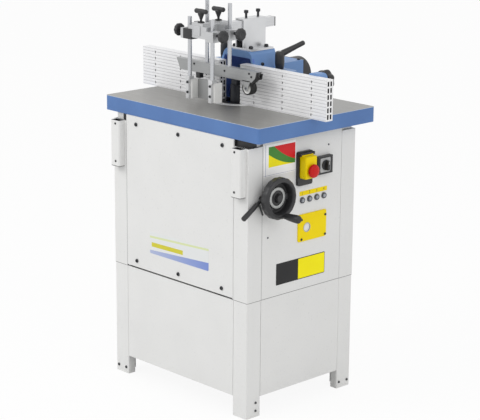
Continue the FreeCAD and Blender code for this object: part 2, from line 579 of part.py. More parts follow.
for name, z in (("bracket_low_arm", lower_arm_z), ("bracket_top_arm", upper_arm_z)):
    bracket_parts.append(box(name, arm_left, "wheel_y - bearing_arm_wide / 2", z,
                             "(%s) - (%s) + 1" % (bracket_x, arm_left), "bearing_arm_wide",
                             "bearing_arm_thick"))
node(cut("screw_bracket_bored", fuse("screw_bracket_joined", *bracket_parts),
         rod("bracket_shaft_bore", bracket_x + " - 1", "wheel_y", "wheel_z", "shaft_r + shaft_gap",
             "bracket_plate + bush_long + 2", "x"),
         rod("bracket_screw_bore", "screw_x", "wheel_y", lower_arm_z + " - 1", "screw_r + shaft_gap",
             "bearing_arm_thick + 2"),
         rod("bracket_tip_bore", "screw_x", "wheel_y", upper_arm_z + " - 1", "screw_foot_r + shaft_gap",
             "bearing_arm_thick + 2")), "screw_bracket")

# Lock lever beside the handwheel: a stud through the panel, a slim arm and a thick grip
lock_x = right_face + " + lock_stand"
lock_mid = lock_x + " + lock_hub_long / 2"
lock_turn = FreeCAD.Rotation(FreeCAD.Vector(1, 0, 0), 90 + number("lock_angle"))
lock_parts = [rod("lock_stud", right_panel_x + " - lock_stand", "lock_y", "lock_z", "lock_boss_r",
                  "2 * lock_stand + seat_depth + lock_hub_long / 2", "x"),
              rod("lock_hub", lock_x, "lock_y", "lock_z", "lock_hub_r", "lock_hub_long", "x")]
lock_shapes = (("lock_arm", "lock_arm_r", "lock_arm_r * 1.15", "lock_arm_long", "0"),
               ("lock_grip", "lock_knob_r * 0.75", "lock_knob_r", "lock_knob_long", "lock_arm_long - 2"))
for name, small, large, long, start in lock_shapes:
    taper = doc.addObject("Part::Cone", name)
    bind(taper, Radius1=small, Radius2=large, Height=long)
    lock_parts.append(place(taper, lock_mid, "lock_y - (%s) * cos(lock_angle * 1 deg)" % start,
                            "lock_z - (%s) * sin(lock_angle * 1 deg)" % start, lock_turn))
tail = doc.addObject("Part::Cylinder", "lock_tail")
bind(tail, Radius="lock_tail_r", Height="lock_tail_long")
tail_start = "lock_arm_long * 0.6"
lock_parts.append(place(tail, lock_mid, "lock_y - %s * cos(lock_angle * 1 deg)" % tail_start,
                        "lock_z - %s * sin(lock_angle * 1 deg)" % tail_start,
                        FreeCAD.Rotation(FreeCAD.Vector(1, 0, 0), 180 + number("lock_tail_lean"))))
node(fuse("lock_lever_joined", *lock_parts), "lock_lever")

# Spindle bracket under the table, with the rail that the carriage slides on
guide_face = "spindle_y + guide_back"
boss_low = "table_top_z - table_plate - boss_drop"
node(fuse("spindle_bracket_joined",
          mid_box("guide_plate_block", "0", guide_face, "guide_low_z", "guide_wide", "guide_plate",
                  boss_low + " - guide_low_z"),
          mid_box("guide_rail", "0", guide_face + " - rail_deep", "guide_low_z", "rail_wide", "rail_deep + 1",
                  boss_low + " - flange_room - guide_low_z"),
          mid_box("guide_flange", "0", guide_face + " - 2", boss_low + " - flange_room", "guide_wide",
                  "guide_plate + 5", "flange_room")), "spindle_bracket")

# Quill carriage: bored quill, cheeks round the rail, nut arm for the leadscrew and the motor plate
quill_top = "quill_low_z + quill_high"
motor_low_z = "quill_low_z - motor_plate_drop"
cheek_out = "rail_wide / 2 + slide_gap"
carriage_parts = [
    rod("quill_tube", "0", "spindle_y", "quill_low_z", "quill_r", "quill_high"),
    mid_box("carriage_back", "0", "spindle_y + quill_r * 0.75", "quill_low_z", "2 * (%s + cheek)" % cheek_out,
            "guide_back - rail_deep - slide_gap - quill_r * 0.75", "quill_high"),
    box("nut_arm_reach", "-nut_arm_wide / 2", "wheel_y - nut_arm_wide / 2", "nut_arm_low_z", "nut_arm_wide",
        "spindle_y - wheel_y + nut_arm_wide / 2 - quill_r * 0.72", "nut_arm_thick"),
    box("nut_arm_side", "0", "wheel_y - nut_arm_wide / 2", "nut_arm_low_z", "screw_x + nut_arm_wide / 2",
        "nut_arm_wide", "nut_arm_thick"),
    box("motor_plate_block", "motor_x - motor_r - 8", "spindle_y - motor_plate_y / 2", motor_low_z,
        "-motor_x + motor_r + 8 - quill_r * 0.85", "motor_plate_y", "motor_plate_thick"),
    box("motor_plate_web", "-quill_r - 20", "spindle_y - quill_r / 2", motor_low_z, "20 + quill_r * 0.15",
        "quill_r", "motor_plate_drop + quill_high * 0.6")]
for side in (-1, 1):
    left = cheek_out if side > 0 else "-(%s) - cheek" % cheek_out
    carriage_parts.append(box("carriage_cheek_%d" % (side + 1), left, guide_face + " - rail_deep - 12",
                              "quill_low_z",
                              "cheek", "rail_deep + 12 - slide_gap", "quill_high"))
node(cut("quill_carriage_bored", fuse("quill_carriage_joined", *carriage_parts),
         rod("quill_bore", "0", "spindle_y", "quill_low_z - 1", "spindle_r + 5", "quill_high + 2"),
         rod("quill_low_seat", "0", "spindle_y", "quill_low_z - 1", "bearing_r", "bearing_high + 1"),
         rod("quill_top_seat", "0", "spindle_y", quill_top + " - bearing_high", "bearing_r",
             "bearing_high + 1"),
         rod("nut_bore", "screw_x", "wheel_y", "nut_arm_low_z - 1", "screw_r + screw_gap",
             "nut_arm_thick + 2"),
         rod("motor_shaft_hole", "motor_x", "spindle_y", motor_low_z + " - 1", "motor_shaft_r + 3",
             "motor_plate_thick + 2")), "quill_carriage")


def bearing(name, z):
    return cut(name, rod(name + "_ring", "0", "spindle_y", z, "bearing_r", "bearing_high"),
               rod(name + "_bore", "0", "spindle_y", "(%s) - 1" % z, "spindle_r + race_gap",
                   "bearing_high + 2"))


node(group("spindle_bearings_set", bearing("low_bearing", "quill_low_z"),
           bearing("top_bearing", quill_top + " - bearing_high")), "spindle_bearings")
collar_low = "spacer_low_z - collar_high"
spindle_bar = turned("spindle_turned", [
    ("0", "spindle_low_z"), ("spindle_r", "spindle_low_z"), ("spindle_r", collar_low),
    ("spacer_r - 2", collar_low),
    ("spacer_r - 2", "spacer_low_z"), ("spindle_r", "spacer_low_z"), ("spindle_r", "spindle_top_z - 4"),
    ("spindle_r - 3", "spindle_top_z"), ("0", "spindle_top_z")], "0", "spindle_y", "0")
rings = []
for i in range(int(number("spacer_count"))):
    z = "spacer_low_z + %d * spacer_high" % i
    rings.append(cut("spacer_%d" % i, rod("spacer_disc_%d" % i, "0", "spindle_y", z, "spacer_r",
                                          "spacer_high"),
                     rod("spacer_hole_%d" % i, "0", "spindle_y", z + " - 1", "spindle_r + race_gap",
                         "spacer_high + 2")))
nut_z = "spacer_low_z + spacer_count * spacer_high"
hexagon = [("nut_r * cos(%d deg)" % a, "nut_r * sin(%d deg)" % a) for a in range(0, 360, 60)]
nut_blank = padded("nut_blank", "XY_Plane", hexagon, "nut_high", "0", "spindle_y", nut_z)
rings.append(cut("spindle_nut", nut_blank, rod("nut_hole", "0", "spindle_y", nut_z + " - 1",
                                               "spindle_r + race_gap", "nut_high + 2")))
node(group("spindle_shaft_set", spindle_bar, *rings), "spindle_shaft")


# A belt pulley with two flanges and a flat waist where the belt runs
def pulley(name, x, radius, bore):
    lip = "(pulley_high - belt_wide) / 2 - 1"
    return turned(name, [(bore, "0"), ("(%s) + belt_thick + 2" % radius, "0"),
                         ("(%s) + belt_thick + 2" % radius, lip),
                         (radius, lip), (radius, "pulley_high - (%s)" % lip),
                         ("(%s) + belt_thick + 2" % radius, "pulley_high - (%s)" % lip),
                         ("(%s) + belt_thick + 2" % radius, "pulley_high"), (bore, "pulley_high")],
                  x, "spindle_y", "pulley_low_z")


node(pulley("spindle_pulley_turned", "0", "pulley_r", "spindle_r + race_gap"), "spindle_pulley")
motor_base = motor_low_z + " + motor_plate_thick"
motor_shaft = rod("motor_shaft", "motor_x", "spindle_y", "pulley_low_z - 2", "motor_shaft_r",
                  "(%s) + 30 - pulley_low_z + 2" % motor_base)
node(fuse("motor_pulley_joined", pulley("motor_pulley_turned", "motor_x", "motor_pulley_r",
                                        "motor_shaft_r - 1"),
          motor_shaft), "motor_pulley")
motor_fins = []
for i in range(16):
    fin = doc.addObject("Part::Box", "motor_fin_%d" % i)
    bind(fin, Length="6", Width="3", Height="motor_high - fan_cover_high - 24")
    place(fin, "motor_x + (motor_r - 10) * cos(%s deg) + 1.5 * sin(%s deg)" % (22.5 * i, 22.5 * i),
          "spindle_y + (motor_r - 10) * sin(%s deg) - 1.5 * cos(%s deg)" % (22.5 * i, 22.5 * i),
          motor_base + " + 12", FreeCAD.Rotation(FreeCAD.Vector(0, 0, 1), 22.5 * i))
    motor_fins.append(fin)
motor_body = fuse("motor_joined",
                  rod("motor_flange", "motor_x", "spindle_y", motor_base, "motor_r", "12"),
                  rod("motor_core", "motor_x", "spindle_y", motor_base, "motor_r - 8", "motor_high - 4"),
                  rod("motor_fan_cover", "motor_x", "spindle_y",
                      motor_base + " + motor_high - fan_cover_high",
                      "motor_r", "fan_cover_high"), *motor_fins)
node(cut("motor_bored", motor_body,
         rod("motor_bore", "motor_x", "spindle_y", motor_base + " - 1", "motor_shaft_r + shaft_gap", "33")),
         "motor")


# The belt: two arcs and two straight runs, tangent to both pulleys
def belt_wire(large, small, distance):
    lean = FreeCAD.Vector((large - small) / distance, (1 - ((large - small) / distance) ** 2) ** 0.5, 0)
    mirror = FreeCAD.Vector(lean.x, -lean.y, 0)
    far = FreeCAD.Vector(distance, 0, 0)
    runs = [Part.LineSegment(lean * large, far + lean * small),
            Part.LineSegment(far + mirror * small, mirror * large)]
    arcs = [Part.Arc(far + lean * small, far + FreeCAD.Vector(small, 0, 0), far + mirror * small),
            Part.Arc(mirror * large, FreeCAD.Vector(-large, 0, 0), lean * large)]
    return Part.Wire([runs[0].toShape(), arcs[0].toShape(), runs[1].toShape(), arcs[1].toShape()])


belt = doc.addObject("Part::Feature", "drive_belt_loop")
belt_in = number("belt_gap")
belt_out = belt_in + number("belt_thick")
belt_rims = [number(name) for name in ("motor_pulley_r", "pulley_r")]
belt_span = -number("motor_x")
belt_face = Part.Face([belt_wire(*(r + belt_out for r in belt_rims), belt_span),
                       belt_wire(*(r + belt_in for r in belt_rims), belt_span)], "Part::FaceMakerBullseye")
belt.Shape = belt_face.extrude(FreeCAD.Vector(0, 0, number("belt_wide")))
place(belt, "motor_x", "spindle_y", "pulley_low_z + (pulley_high - belt_wide) / 2")
node(belt, "drive_belt")


# Fence plate: an aluminium extrusion with two columns of chambers, face grooves and columns of slots
def fence_plate(name, x):
    room = "(fence_high - fence_wall) / fence_chambers"
    count = int(number("fence_chambers"))
    outline = [("0", "0"), ("fence_thick", "0"), ("fence_thick", "fence_high"), ("0", "fence_high")]
    for i in range(2 * count - 1, 0, -1):
        mid = "fence_wall / 2 + %d * %s / 2" % (i, room)
        outline += [("0", mid + " + fence_groove"), ("fence_groove", mid), ("0", mid + " - fence_groove")]
    cell_deep = "(fence_thick - 3 * fence_wall) / 2"
    cells = []
    for column in range(2):
        for i in range(count):
            y0 = "fence_wall + %d * (%s + fence_wall)" % (column, cell_deep)
            z0 = "fence_wall + %d * %s" % (i, room)
            y1 = "%s + %s" % (y0, cell_deep)
            z1 = "%s + %s - fence_wall" % (z0, room)
            cells.append([(y0, z0), (y1, z0), (y1, z1), (y0, z1)])
    bar = padded(name + "_bar", "YZ_Plane", outline, "fence_long", x, "fence_y", fence_low, cells)
    slots = []
    for column in range(3):
        for i in range(count):
            slots.append(mid_box("%s_slot_%d_%d" % (name, column, i),
                                 "%s + fence_slot_pitch * %s" % (x, column + 0.5), "fence_y - 1",
                                 "%s + fence_wall + (%s) * %s - fence_wall / 2 - fence_slot_high / 2"
                                 % (fence_low, room, i + 0.5), "fence_slot_wide", "fence_wall + 1.5",
                                 "fence_slot_high"))
    return cut(name, bar, *slots)


node(fence_plate("left_plate", "fence_left_x"), "left_fence_plate")
node(fence_plate("right_plate", "fence_right_x"), "right_fence_plate")

# Fence casting: round-backed hood tower, two shoulders, wings behind the plates and the dust chute
cast_y = fence_back + " + slide_clear"
tower_edges = straight_edge("z", y=(number(cast_y) + 1, 9999))
tower_block = rounded("tower_block", mid_box("tower_blank", "0", cast_y, fence_low, "tower_x", "tower_back",
                                             "tower_top_z - (%s)" % fence_low), "tower_corner_r", tower_edges)


# An upright outline that is the same on both sides, given by its right half from the bottom up
def both_sides(half):
    return half + [("-(%s)" % x, z) for x, z in reversed(half)]


tower_front = padded("tower_front", "XZ_Plane", both_sides([
    ("tower_x / 2", fence_low), ("tower_x / 2", "taper_z"),
    ("tower_x / 2 - tower_taper", "tower_top_z - tower_edge"),
    ("tower_x / 2 - tower_taper - tower_edge", "tower_top_z")]), "tower_back", "0", cast_y, "0")
tower = common("tower", tower_block, tower_front)
hood_top = "tower_top_z - tower_roof"
hood_mouth = padded("hood_mouth", "XZ_Plane", both_sides([
    ("mouth_half", fence_low + " - 1"), ("mouth_half", "taper_z - 2"), ("mouth_top_half", hood_top)]),
    "spindle_y - (%s) + 1" % cast_y, "0", cast_y + " - 1", "0")
shoulder = rounded("shoulder", mid_box("shoulder_blank", "0", cast_y, fence_low, "shoulder_x",
                                       "shoulder_back",
                                       "shoulder_z - (%s)" % fence_low), "shoulder_round", tower_edges)
chute_start = cast_y + " + tower_back - tower_corner_r"
cast_parts = [tower, shoulder,
              mid_box("chute_block", "0", chute_start, fence_low, "chute_x",
                      "chute_back - (%s)" % chute_start,
                      "chute_top_z - (%s)" % fence_low),
              mid_box("wing_slab", "0", cast_y, "wing_low_z", "2 * wing_x", "wing_thick", "wing_high")]
slots = []
for side, knob_z in ((-1, "left_knob_z"), (1, "right_knob_z")):
    pad_mid = "%d * pad_x" % side
    pad = mid_box("wing_pad_%d" % (side + 1), pad_mid, cast_y + " + 1", knob_z + " - pad_half", "2 * pad_half",
                  "wing_thick + pad_out - 1", "2 * pad_half")
    cast_parts.append(rounded("wing_pad_round_%d" % (side + 1), pad, "pad_half * 0.6", straight_edge("y")))
    slots.append(mid_box("wing_slot_%d" % (side + 1), pad_mid, cast_y + " - 1",
                         knob_z + " - stud_r - stud_gap",
                         "2 * (wing_slot_half + stud_r)", "wing_thick + pad_out + 3",
                         "2 * (stud_r + stud_gap)"))
duct_wide = "chute_x - 2 * chute_wall"
node(cut("fence_casting_cored", fuse("fence_casting_joined", *cast_parts), *slots,
         rod("hood_core", "0", "spindle_y", fence_low + " - 1", "hood_r", "taper_z - 3 - (%s)" % fence_low),
         cone("hood_dome", "0", "spindle_y", "taper_z - 4", "hood_r", "hood_top_r", hood_top + " - taper_z + 4"),
         hood_mouth,
         mid_box("duct_core", "0", "spindle_y + hood_r / 2", "duct_low_z", duct_wide,
                 "chute_back - spindle_y",
                 "chute_top_z - chute_wall - duct_low_z")), "fence_casting")
port_tube = rod("port_tube", "0", "chute_back", "port_z", "port_r", "port_long", "y")
port_plate = mid_box("port_plate", "0", "chute_back", fence_low + " + 2", "chute_x", "port_flange",
                     "chute_top_z - (%s) - 2" % fence_low)
node(cut("dust_port_bored", fuse("dust_port_joined", port_tube, port_plate),
         rod("port_bore", "0", "chute_back - 1", "port_z", "port_r - port_wall", "port_long + 2", "y")),
         "dust_port")


# Clamp lever: upright hub with a tapered arm that leans outwards and up
def clamp_lever(name, side):
    x = "lever_x" if side > 0 else "-left_lever_x"
    hub = turned(name + "_hub", [("0", "0"), ("lever_hub_r * 0.85", "0"),
                                 ("lever_hub_r", "lever_hub_high * 0.3"),
                                 ("lever_hub_r", "lever_hub_high * 0.85"),
                                 ("lever_hub_r * 0.8", "lever_hub_high"),
                                 ("0", "lever_hub_high")], x, "lever_y", "shoulder_z + slide_clear")
    arm = doc.addObject("Part::Cone", name + "_arm")
    bind(arm, Radius1="lever_arm_r", Radius2="lever_tip_r", Height="lever_arm_long")
    heading = number("lever_turn") if side > 0 else 180 - number("lever_turn")
    lean = FreeCAD.Rotation(FreeCAD.Vector(0, 0, 1), heading).multiply(
        FreeCAD.Rotation(FreeCAD.Vector(0, 1, 0), 90 - number("lever_rise")))
    place(arm, x, "lever_y", "shoulder_z + lever_hub_high * 0.8", lean)
    reach = "lever_arm_long * cos(lever_rise * 1 deg)"
    tip = ball(name + "_tip", "%s + %s * cos(%s deg)" % (x, reach, heading),
               "lever_y + %s * sin(%s deg)" % (reach, heading),
               "shoulder_z + lever_hub_high * 0.8 + lever_arm_long * sin(lever_rise * 1 deg)", "lever_tip_r")
    return fuse(name, hub, arm, tip)


node(clamp_lever("left_lever", -1), "left_clamp_lever")
node(clamp_lever("right_lever", 1), "right_clamp_lever")


# Lobed knob: a disc with round lobes on its edge and a stud, along X or Y
def lobed_knob(name, x, y, z, axis, radius, deep, stud_r, stud_from, stud_long):
    parts = [rod(name + "_disc", x, y, z, "(%s) * 0.86" % radius, deep, axis)]
    lobes = int(number("knob_lobes"))
    for i in range(lobes):
        step = 360 / lobes * i
        side = "(%s) * 0.78 * cos(%s deg)" % (radius, step)
        rise = "(%s) * 0.78 * sin(%s deg)" % (radius, step)
        spot = (x, "(%s) + %s" % (y, side)) if axis == "x" else ("(%s) + %s" % (x, side), y)
        parts.append(rod("%s_lobe_%d" % (name, i), spot[0], spot[1], "(%s) + %s" % (z, rise),
                         "(%s) * 0.22" % radius,
                         deep, axis))
    start = (stud_from, y) if axis == "x" else (x, stud_from)
    parts.append(rod(name + "_stud", start[0], start[1], z, stud_r, stud_long, axis))
    return fuse(name, *parts)


knob_y = cast_y + " + wing_thick + pad_out + slide_clear"
for side, label in ((-1, "left"), (1, "right")):
    node(lobed_knob(label + "_rear_knob", "%d * pad_x" % side, knob_y, label + "_knob_z", "y", "fence_knob_r",
                    "fence_knob_deep", "stud_r", cast_y, "wing_thick + pad_out + slide_clear + 1"),
         label + "_fence_knob")

# Hold-down column: a folded channel on a foot, with a saddle that carries the arm
column_y = cast_y + " + column_front"
column_top = "tower_top_z + column_high"
tunnel_low = "arm_low_z - arm_gap"
column_parts = [mid_box("column_foot", "0", column_y, "tower_top_z", "flange_x", "column_deep",
                        "flange_thick"),
                mid_box("column_rear", "0", column_y + " + column_deep - column_sheet", "tower_top_z",
                        "column_x",
                        "column_sheet", "column_high"),
                mid_box("column_roof", "0", column_y, column_top + " - column_sheet", "column_x",
                        "column_deep",
                        "column_sheet"),
                mid_box("column_saddle", "0", column_y + " + 8", tunnel_low + " - saddle_high", "column_x",
                        "column_deep - 8", "saddle_high")]
for side in (-1, 1):
    wall_x = "column_x / 2 - column_sheet" if side > 0 else "-column_x / 2"
    column_parts.append(box("column_wall_%d" % (side + 1), wall_x, column_y, "tower_top_z", "column_sheet",
                            "column_deep", "column_high"))


# Room for the arm to slide through a piece
def arm_tunnel(name, y, deep):
    return mid_box(name, "0", y, tunnel_low, "arm_wide + 2 * arm_gap", deep, "arm_high + 2 * arm_gap")


thumb_spots = (("front", column_y + " + thumb_front"), ("rear", column_y + " + thumb_back"))
thumb_holes = [rod("thumb_hole_" + word, "0", y, column_top + " - 10", "thumb_r + arm_gap", "20")
               for word, y in thumb_spots]
node(cut("guard_column_cut", fuse("guard_column_joined", *column_parts),
         arm_tunnel("column_tunnel", column_y + " - 1", "column_deep + 2"), *thumb_holes), "guard_column")
for word, y in thumb_spots:
    low = "arm_low_z + arm_high + arm_gap"
    high = "(%s) + thumb_high - (%s)" % (column_top, low)
    node(turned(word + "_thumb", [("0", "0"), ("thumb_r", "0"), ("thumb_r",
                                                                 high + " - thumb_head_high * 0.9"),
                                  ("thumb_head_r * 0.7", high + " - thumb_head_high * 0.5"),
                                  ("thumb_head_r", high + " - thumb_head_high * 0.3"), ("thumb_head_r", high),
                                  ("0", high)], "0", y, low), word + "_thumb_screw")

# Arm: a square tube with caps at both ends
arm_long = "arm_back - arm_front - 2 * cap_thick"
arm_tube = cut("arm_tube",
               mid_box("arm_outer", "0", "arm_front + cap_thick", "arm_low_z", "arm_wide", arm_long,
                       "arm_high"),
               mid_box("arm_inner", "0", "arm_front + cap_thick - 1", "arm_low_z + arm_wall",
                       "arm_wide - 2 * arm_wall",
                       arm_long + " + 2", "arm_high - 2 * arm_wall"))
node(group("guard_arm_set", arm_tube,
           mid_box("arm_front_cap", "0", "arm_front", "arm_low_z", "arm_wide", "cap_thick", "arm_high"),
           mid_box("arm_rear_cap", "0", "arm_back - cap_thick", "arm_low_z", "arm_wide", "cap_thick",
                   "arm_high")),
     "guard_arm")


# Cross bar: slides on the arm, with a hump for the T knob and a clamp block at each end for a rod
def cross_bar(name, y):
    front = "%s - bar_deep / 2" % y
    parts = [mid_box(name + "_middle", "0", front, "bar_low_z", "2 * clamp_half", "bar_deep",
                     "bar_top_z - bar_low_z"),
             mid_box(name + "_hump", "0", front, "bar_top_z - 1", "2 * hump_half", "bar_deep",
                     "hump_top_z - bar_top_z + 1")]
    holes = [arm_tunnel(name + "_tunnel", front + " - 1", "bar_deep + 2"),
             rod(name + "_tee_hole", "0", y, "bar_top_z - 2", "tee_stud_r + arm_gap", "30")]
    for side in (-1, 1):
        left = "clamp_half - 1" if side > 0 else "-bar_half"
        parts.append(box("%s_clamp_%d" % (name, side + 1), left, front + " - clamp_extra", "clamp_low_z",
                         "bar_half - clamp_half + 1", "bar_deep + 2 * clamp_extra",
                         "clamp_top_z - clamp_low_z"))
        holes.append(rod("%s_rod_hole_%d" % (name, side + 1), "%d * rod_x" % side, y, "clamp_low_z - 1",
                         "rod_r + rod_gap", "clamp_top_z - clamp_low_z + 30"))
        stud_x = "bar_half - star_stud_long" if side > 0 else "-bar_half - 1"
        holes.append(rod("%s_stud_hole_%d" % (name, side + 1), stud_x, y, "star_z", "star_stud_r + arm_gap",
                         "star_stud_long + 1", "x"))
    return cut(name, fuse(name + "_joined", *parts), *holes)


for word, y in (("front", "front_bar_y"), ("rear", "rear_bar_y")):
    node(cross_bar(word + "_bar", y), word + "_cross_bar")
    node(fuse(word + "_tee",
              mid_box(word + "_tee_blank", "0", "%s - tee_r" % y, "hump_top_z + tee_axis_up - tee_r * 0.8",
                      "tee_long * 0.5",
                      "2 * tee_r", "tee_r * 1.6"),
              rod(word + "_tee_bar", "-tee_long / 2", y, "hump_top_z + tee_axis_up", "tee_r", "tee_long",
                  "x"),
              cone(word + "_tee_neck", "0", y, "hump_top_z + tee_neck_low", "tee_stud_r", "tee_neck_r",
                   "tee_axis_up - tee_neck_low"),
              rod(word + "_tee_stud", "0", y, "arm_low_z + arm_high + arm_gap", "tee_stud_r",
                  "hump_top_z + tee_axis_up - arm_low_z - arm_high")), word + "_t_knob")
    for side, label in ((-1, "left"), (1, "right")):
        stud_in = "bar_half - star_stud_long + 1"
        knob_x = "bar_half + star_stand" if side > 0 else "-bar_half - star_stand - star_thick"
        stud_from = stud_in if side > 0 else "-bar_half - star_stand"
        node(lobed_knob("%s_%s_star" % (word, label), knob_x, y, "star_z", "x", "star_r", "star_thick",
                        "star_stud_r",
                        stud_from, "star_stud_long + star_stand - 1"), "%s_%s_knob" % (word, label))
    node(group(word + "_rods_set", *[rod("%s_rod_%d" % (word, side + 1), "%d * rod_x" % side, y,
                                         word + "_rod_low_z",
                                         "rod_r", "%s_rod_top_z - %s_rod_low_z" % (word, word))
                                     for side in (-1, 1)]), word + "_rods")

# Press beam on the rear rods, with slanted ends
beam_top = "beam_low_z + beam_high"
beam_front = "rear_bar_y - beam_thick / 2"
beam_bar = padded("beam_bar", "XZ_Plane", [
    ("-beam_half + beam_slant", "beam_low_z"), ("beam_half - beam_slant", "beam_low_z"),
    ("beam_half", beam_top),
    ("-beam_half", beam_top)], "beam_thick", "0", beam_front, "0")
node(cut("press_beam_bored", beam_bar,
         *[rod("beam_hole_%d" % (side + 1), "%d * rod_x" % side, "rear_bar_y", "rear_rod_low_z",
               "rod_r + race_gap", "60")
           for side in (-1, 1)]), "press_beam")

# Roller on a bracket clipped over the beam's right end
roller_back = "roller_front + roller_wide"
arm_y = roller_back + " + roller_side"
clip_front = beam_front + " - clip_over"
clip_low = "beam_low_z + clip_up"
clip_block = box("clip_block", "clip_x", clip_front, clip_low, "clip_wide",
                 "%s + roller_arm_thick - (%s)" % (arm_y, clip_front), "beam_high - clip_up")
roller_arm = padded("roller_arm", "XZ_Plane", [
    ("roller_x - 7", "roller_z - 5"), ("roller_x", "roller_z - 8"), ("roller_x + 8", "roller_z - 4"),
    ("clip_x + clip_wide", clip_low), ("clip_x + clip_wide", beam_top), ("clip_x", beam_top),
    ("clip_x", clip_low), ("roller_x - 6", "roller_z + 6")], "roller_arm_thick", "0", arm_y, "0")
node(cut("roller_bracket_cut",
         fuse("roller_bracket_joined", clip_block, roller_arm,
              rod("roller_pin", "roller_x", "roller_front - 2", "roller_z", "roller_pin_r",
                  "roller_wide + roller_side + 3", "y")),
         beam_bar), "roller_bracket")
node(turned("roller_turned", [
    ("roller_pin_r + roller_gap", "0"), ("roller_r - 3", "0"), ("roller_r", "3"),
    ("roller_r", "roller_wide - 3"),
    ("roller_r - 3", "roller_wide"), ("roller_pin_r + roller_gap", "roller_wide")],
    "roller_x", "roller_front", "roller_z", "y"), "roller_wheel")

# Press shoe on the front rods: two holders, two pale cheeks and a plate between them
shoe_top = "shoe_low_z + shoe_high"
holders = []
cheeks = []
for side in (-1, 1):
    rod_mid = "%d * rod_x" % side
    cheek_x = rod_mid + " + cheek_set"
    stem = box("holder_stem_%d" % (side + 1), cheek_x + " - holder_wide", "front_bar_y - holder_deep / 2",
               "shoe_low_z",
               "holder_wide", "holder_deep", "shoe_high")
    head = mid_box("holder_head_%d" % (side + 1), rod_mid, "front_bar_y - holder_deep / 2 - 1", shoe_top,
                   "holder_wide + 4",
                   "holder_deep + 2", "holder_up")
    holders.append(cut("holder_%d" % (side + 1), fuse("holder_joined_%d" % (side + 1), stem, head),
                       rod("holder_hole_%d" % (side + 1), rod_mid, "front_bar_y", "front_rod_low_z",
                           "rod_r + race_gap", "80")))
    cheeks.append(box("cheek_%d" % (side + 1), cheek_x, "front_bar_y", "shoe_low_z", "cheek_thick",
                      "shoe_plate_y - front_bar_y + shoe_plate_thick", "shoe_high"))
shoe_plate = box("shoe_plate", "-rod_x + cheek_set + cheek_thick", "shoe_plate_y", "shoe_low_z",
                 "2 * rod_x - cheek_thick", "shoe_plate_thick", "shoe_high")
node(group("press_shoe_set", *holders, shoe_plate), "press_shoe")
node(group("shoe_cheeks_set", *cheeks), "shoe_cheeks")

doc.recompute()
faults = [o.Label for o in doc.Objects if "Invalid" in o.State or "Error" in o.State]
faults += [n.Label for n in nodes if n.Shape.isNull() or not n.Shape.isValid() or not n.Shape.Solids]
if faults:
    raise RuntimeError("failed: " + ", ".join(faults))
os.makedirs("parts", exist_ok=True)
for n in nodes:
    n.Shape.exportStep("parts/%s.step" % n.Label)
print("%d nodes, %d solids" % (len(nodes), sum(len(n.Shape.Solids) for n in nodes)))
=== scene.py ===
import bmesh
import bpy
import numpy as np
from mathutils import Matrix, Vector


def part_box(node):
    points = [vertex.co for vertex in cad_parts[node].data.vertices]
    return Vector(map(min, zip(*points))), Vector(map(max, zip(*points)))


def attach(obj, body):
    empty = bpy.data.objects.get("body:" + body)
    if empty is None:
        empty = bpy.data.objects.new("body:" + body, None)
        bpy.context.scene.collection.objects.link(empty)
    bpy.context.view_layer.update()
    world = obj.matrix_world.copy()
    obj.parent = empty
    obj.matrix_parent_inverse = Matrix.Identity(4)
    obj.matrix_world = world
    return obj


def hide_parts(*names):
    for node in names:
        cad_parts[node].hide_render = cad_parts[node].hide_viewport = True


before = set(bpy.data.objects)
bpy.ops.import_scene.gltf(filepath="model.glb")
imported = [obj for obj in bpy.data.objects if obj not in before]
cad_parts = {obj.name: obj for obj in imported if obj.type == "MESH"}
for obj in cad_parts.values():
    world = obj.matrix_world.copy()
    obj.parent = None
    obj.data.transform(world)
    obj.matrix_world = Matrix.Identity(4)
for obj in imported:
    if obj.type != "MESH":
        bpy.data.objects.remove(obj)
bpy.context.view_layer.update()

mm = 0.001
print("frame loaded:", len(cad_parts), "nodes")


# screen colour 0..255 to linear light
def shade(red, green, blue):
    c = np.array([red, green, blue]) / 255
    linear = np.where(c <= 0.04045, c / 12.92, ((c + 0.055) / 1.055) ** 2.4)
    return (*linear.tolist(), 1.0)


